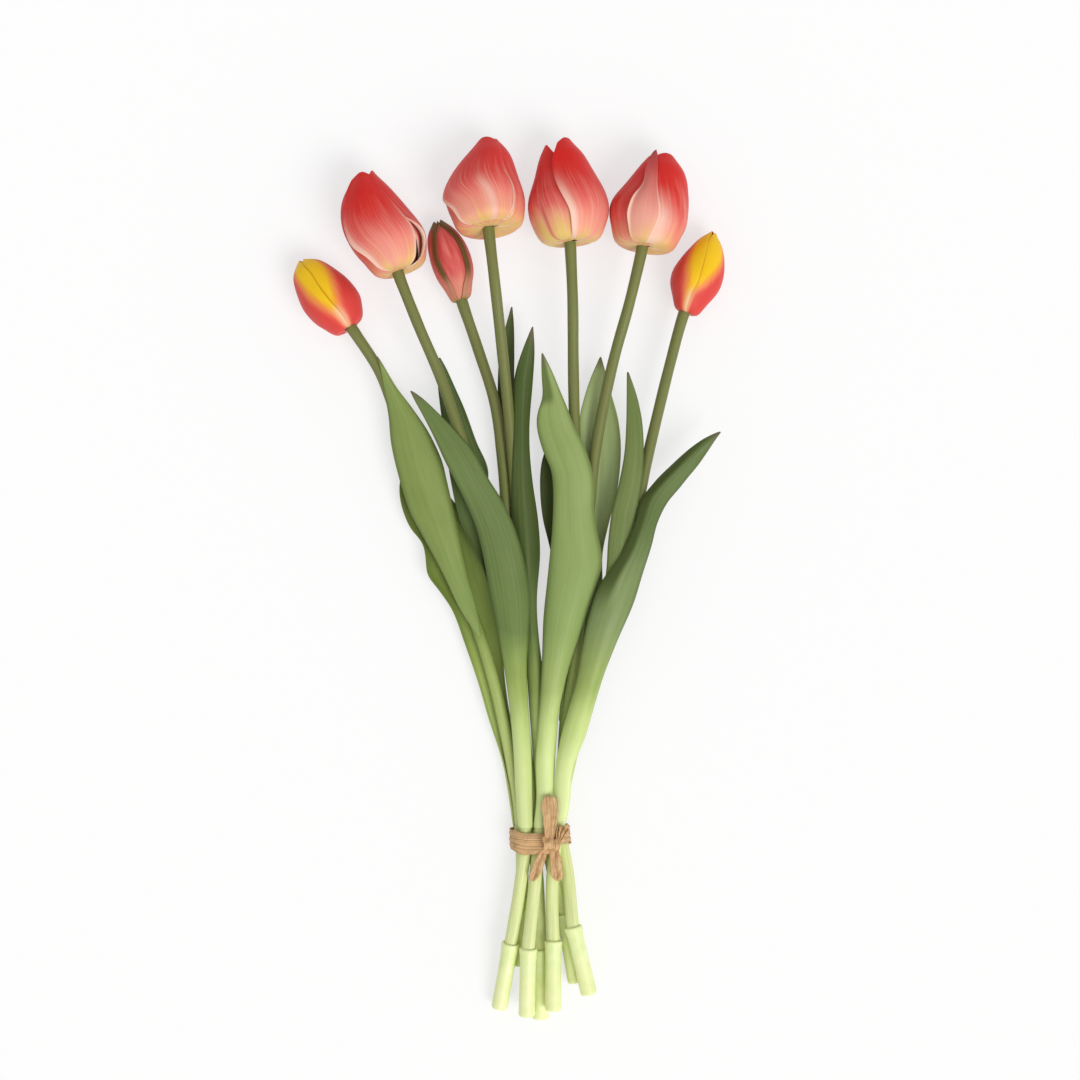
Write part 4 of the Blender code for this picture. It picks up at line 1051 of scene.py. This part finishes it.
def loop_place(a, b):
    """A flattened bow loop: out on top and back below, widest near its round tip, creased in the middle."""
    place = (1 - abs(2 * b - 1)) * 1.04
    over = 1 if b < 0.5 else -1
    tip = max(place - 0.94, 0) / 0.1
    across = 2 * a - 1
    rounding = math.sqrt(max(1 - (max(place - 0.8, 0) / 0.3) ** 2, 0))
    wide = (2.3 + 2.0 * math.sin(math.pi * min(place, 0.9) * 0.62)) * rounding
    fold = -1.3 * math.exp(-(across / 0.16) ** 2) * (1 - tip) + 0.45 * math.sin(across * 7 + 4 * place)
    height = 0.7 + 1.1 * math.sin(math.pi * place) + over * (0.9 * (1 - tip) + fold * 0.5)
    return (KNOT_X + across * wide + 0.6 * math.sin(place * 3) - 1.5,
            KNOT_Y + 1.4 + LOOP_LENGTH * min(place, 0.98) - 1.1 * across ** 2 * place ** 3,
            TIE_TOP + height)


def tail_place(slope, wide, start):
    """A tail that leaves the knot at a start, with a slope and a width, and lies on the stems."""
    def place(a, b):
        across = 2 * a - 1
        end = max(b - 0.8, 0) / 0.2
        taper = (0.7 + 0.3 * min(b * 2.4, 1)) * (1 - 0.25 * max(b - 0.85, 0) / 0.15)
        x = KNOT_X + start + slope * b * TAIL_LENGTH + across * wide / 2 * taper
        y = KNOT_Y - 2 - b * TAIL_LENGTH + 1.6 * across ** 2 * end
        tops = [TIE_TOP - 3]
        for stem in STEMS.values():
            centre = stem.at(y * MM) / MM
            if abs(centre[0] - x) < 3.5:
                tops.append(centre[2] + stem.radius(y * MM) / MM)
        fold = 0.4 * math.sin(a * 9 + 2 * b) - 0.4 * math.exp(-(across / 0.2) ** 2)
        return x, y, min(max(tops), TIE_TOP) + 1.1 + 0.9 * math.sin(math.pi * b) + fold
    return place


def make_tie(material):
    """Two loose turns round the stems, a knot on top with a bunched end, one flat loop and two tails. The
    noise that crumples them would start from the clock if it weren't seeded."""
    noise.seed_set(CRUMPLE_DRAW)
    piece = raffia_strip("raffia_winding", 18, 240, band_place, 0.5, (0.6, 210, 1), material)
    finish_piece(piece, "raffia_band")
    piece = join("raffia_knot_wrap", [
        raffia_strip("raffia_knot_wrap", 16, 70, knot_place, 0.5, (0.6, 330, 2), material),
        raffia_strip("raffia_gather", 24, 16, gather_place, 0.45, (0.5, 300, 6), material)])
    finish_piece(piece, "raffia_knot")
    piece = raffia_strip("raffia_bow_loop", 16, 90, loop_place, 0.45, (0.4, 260, 3), material)
    finish_piece(piece, "raffia_loop")
    for side, slope, wide, start in (("left", -0.36, 6.0, -3.8), ("right", 0.1, 6.6, 1.2)):
        piece = raffia_strip(f"raffia_end_{side}", 12, 34, tail_place(slope, wide, start), 0.45,
                             (0.35, 280, 4 + slope), material)
        finish_piece(piece, f"raffia_tail_{side}")


# Setting: a white table under soft studio light from the lower right.

def make_setting():
    deselect()
    bpy.ops.mesh.primitive_plane_add(size=6)
    floor = bpy.context.object
    floor.name = "table_top"
    material, tree = new_material("white_table", Base_Color=linear("F2F2F2"), Roughness=0.9,
                                  Specular_IOR_Level=0.1)
    rays = add_node(tree, "ShaderNodeLightPath").outputs
    seen = add_node(tree, "ShaderNodeMath", {"operation": "MAXIMUM"},
                    {0: rays["Is Camera Ray"], 1: rays["Is Glossy Ray"]})
    share = add_node(tree, "ShaderNodeMath", TIMES, {0: seen, 1: 0.6})
    glow = add_node(tree, "ShaderNodeEmission", None, {"Color": (1, 1, 1, 1), "Strength": 1.05})
    chosen = add_node(tree, "ShaderNodeMixShader", None,
                      {0: share, 1: tree.nodes["Principled BSDF"], 2: glow})
    fill(tree, tree.nodes["Material Output"].inputs[0], chosen)
    floor.data.materials.append(material)
    lamp = bpy.data.lights.new("window_light", "SUN")
    lamp.energy = 1.7
    lamp.angle = math.radians(34)
    lamp.color = (1.0, 0.995, 0.985)
    light = bpy.data.objects.new("window_light", lamp)
    light.rotation_euler = Vector((-0.55, 0.6, -0.95)).to_track_quat("-Z", "Y").to_euler()
    bpy.context.scene.collection.objects.link(light)
    world = bpy.data.worlds.new("studio")
    world.use_nodes = True
    world.node_tree.nodes["Background"].inputs[0].default_value = (1, 1, 1, 1)
    world.node_tree.nodes["Background"].inputs[1].default_value = 0.6
    bpy.context.scene.world = world
    bpy.context.scene.view_settings.view_transform = "Standard"


def main():
    stem_skin = stem_material()
    for number in STEMS:
        make_stem(number, stem_skin)
    make_feet(foot_material())
    finishes = petal_finishes()
    make_flowers(finishes)
    make_half_open_bud(BUD_1, finishes, [(0.27, 0.1, 1), (0.42, 0.2, 1)],
                       [(0, 87), (.09, 87), (.23, 91), (.57, 90), (.75, 86), (.92, 93), (1, 95)])
    make_half_open_bud(BUD_7, finishes, [(0.32, 0.0, 1.25), (0.58, 0.2, 1.1)],
                       [(0, 101), (.09, 100), (.31, 83), (.69, 94), (.97, 114)])
    make_tight_bud(BUD_3, finishes)
    make_leaves()
    make_tie(raffia_material())
    steel, foam = wire_material(), foam_material()
    for name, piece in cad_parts.items():
        if name.startswith("wire_") or name.endswith("_core"):
            piece.data.materials.clear()
            piece.data.materials.append(steel if name.startswith("wire_") else foam)
    make_setting()


main()
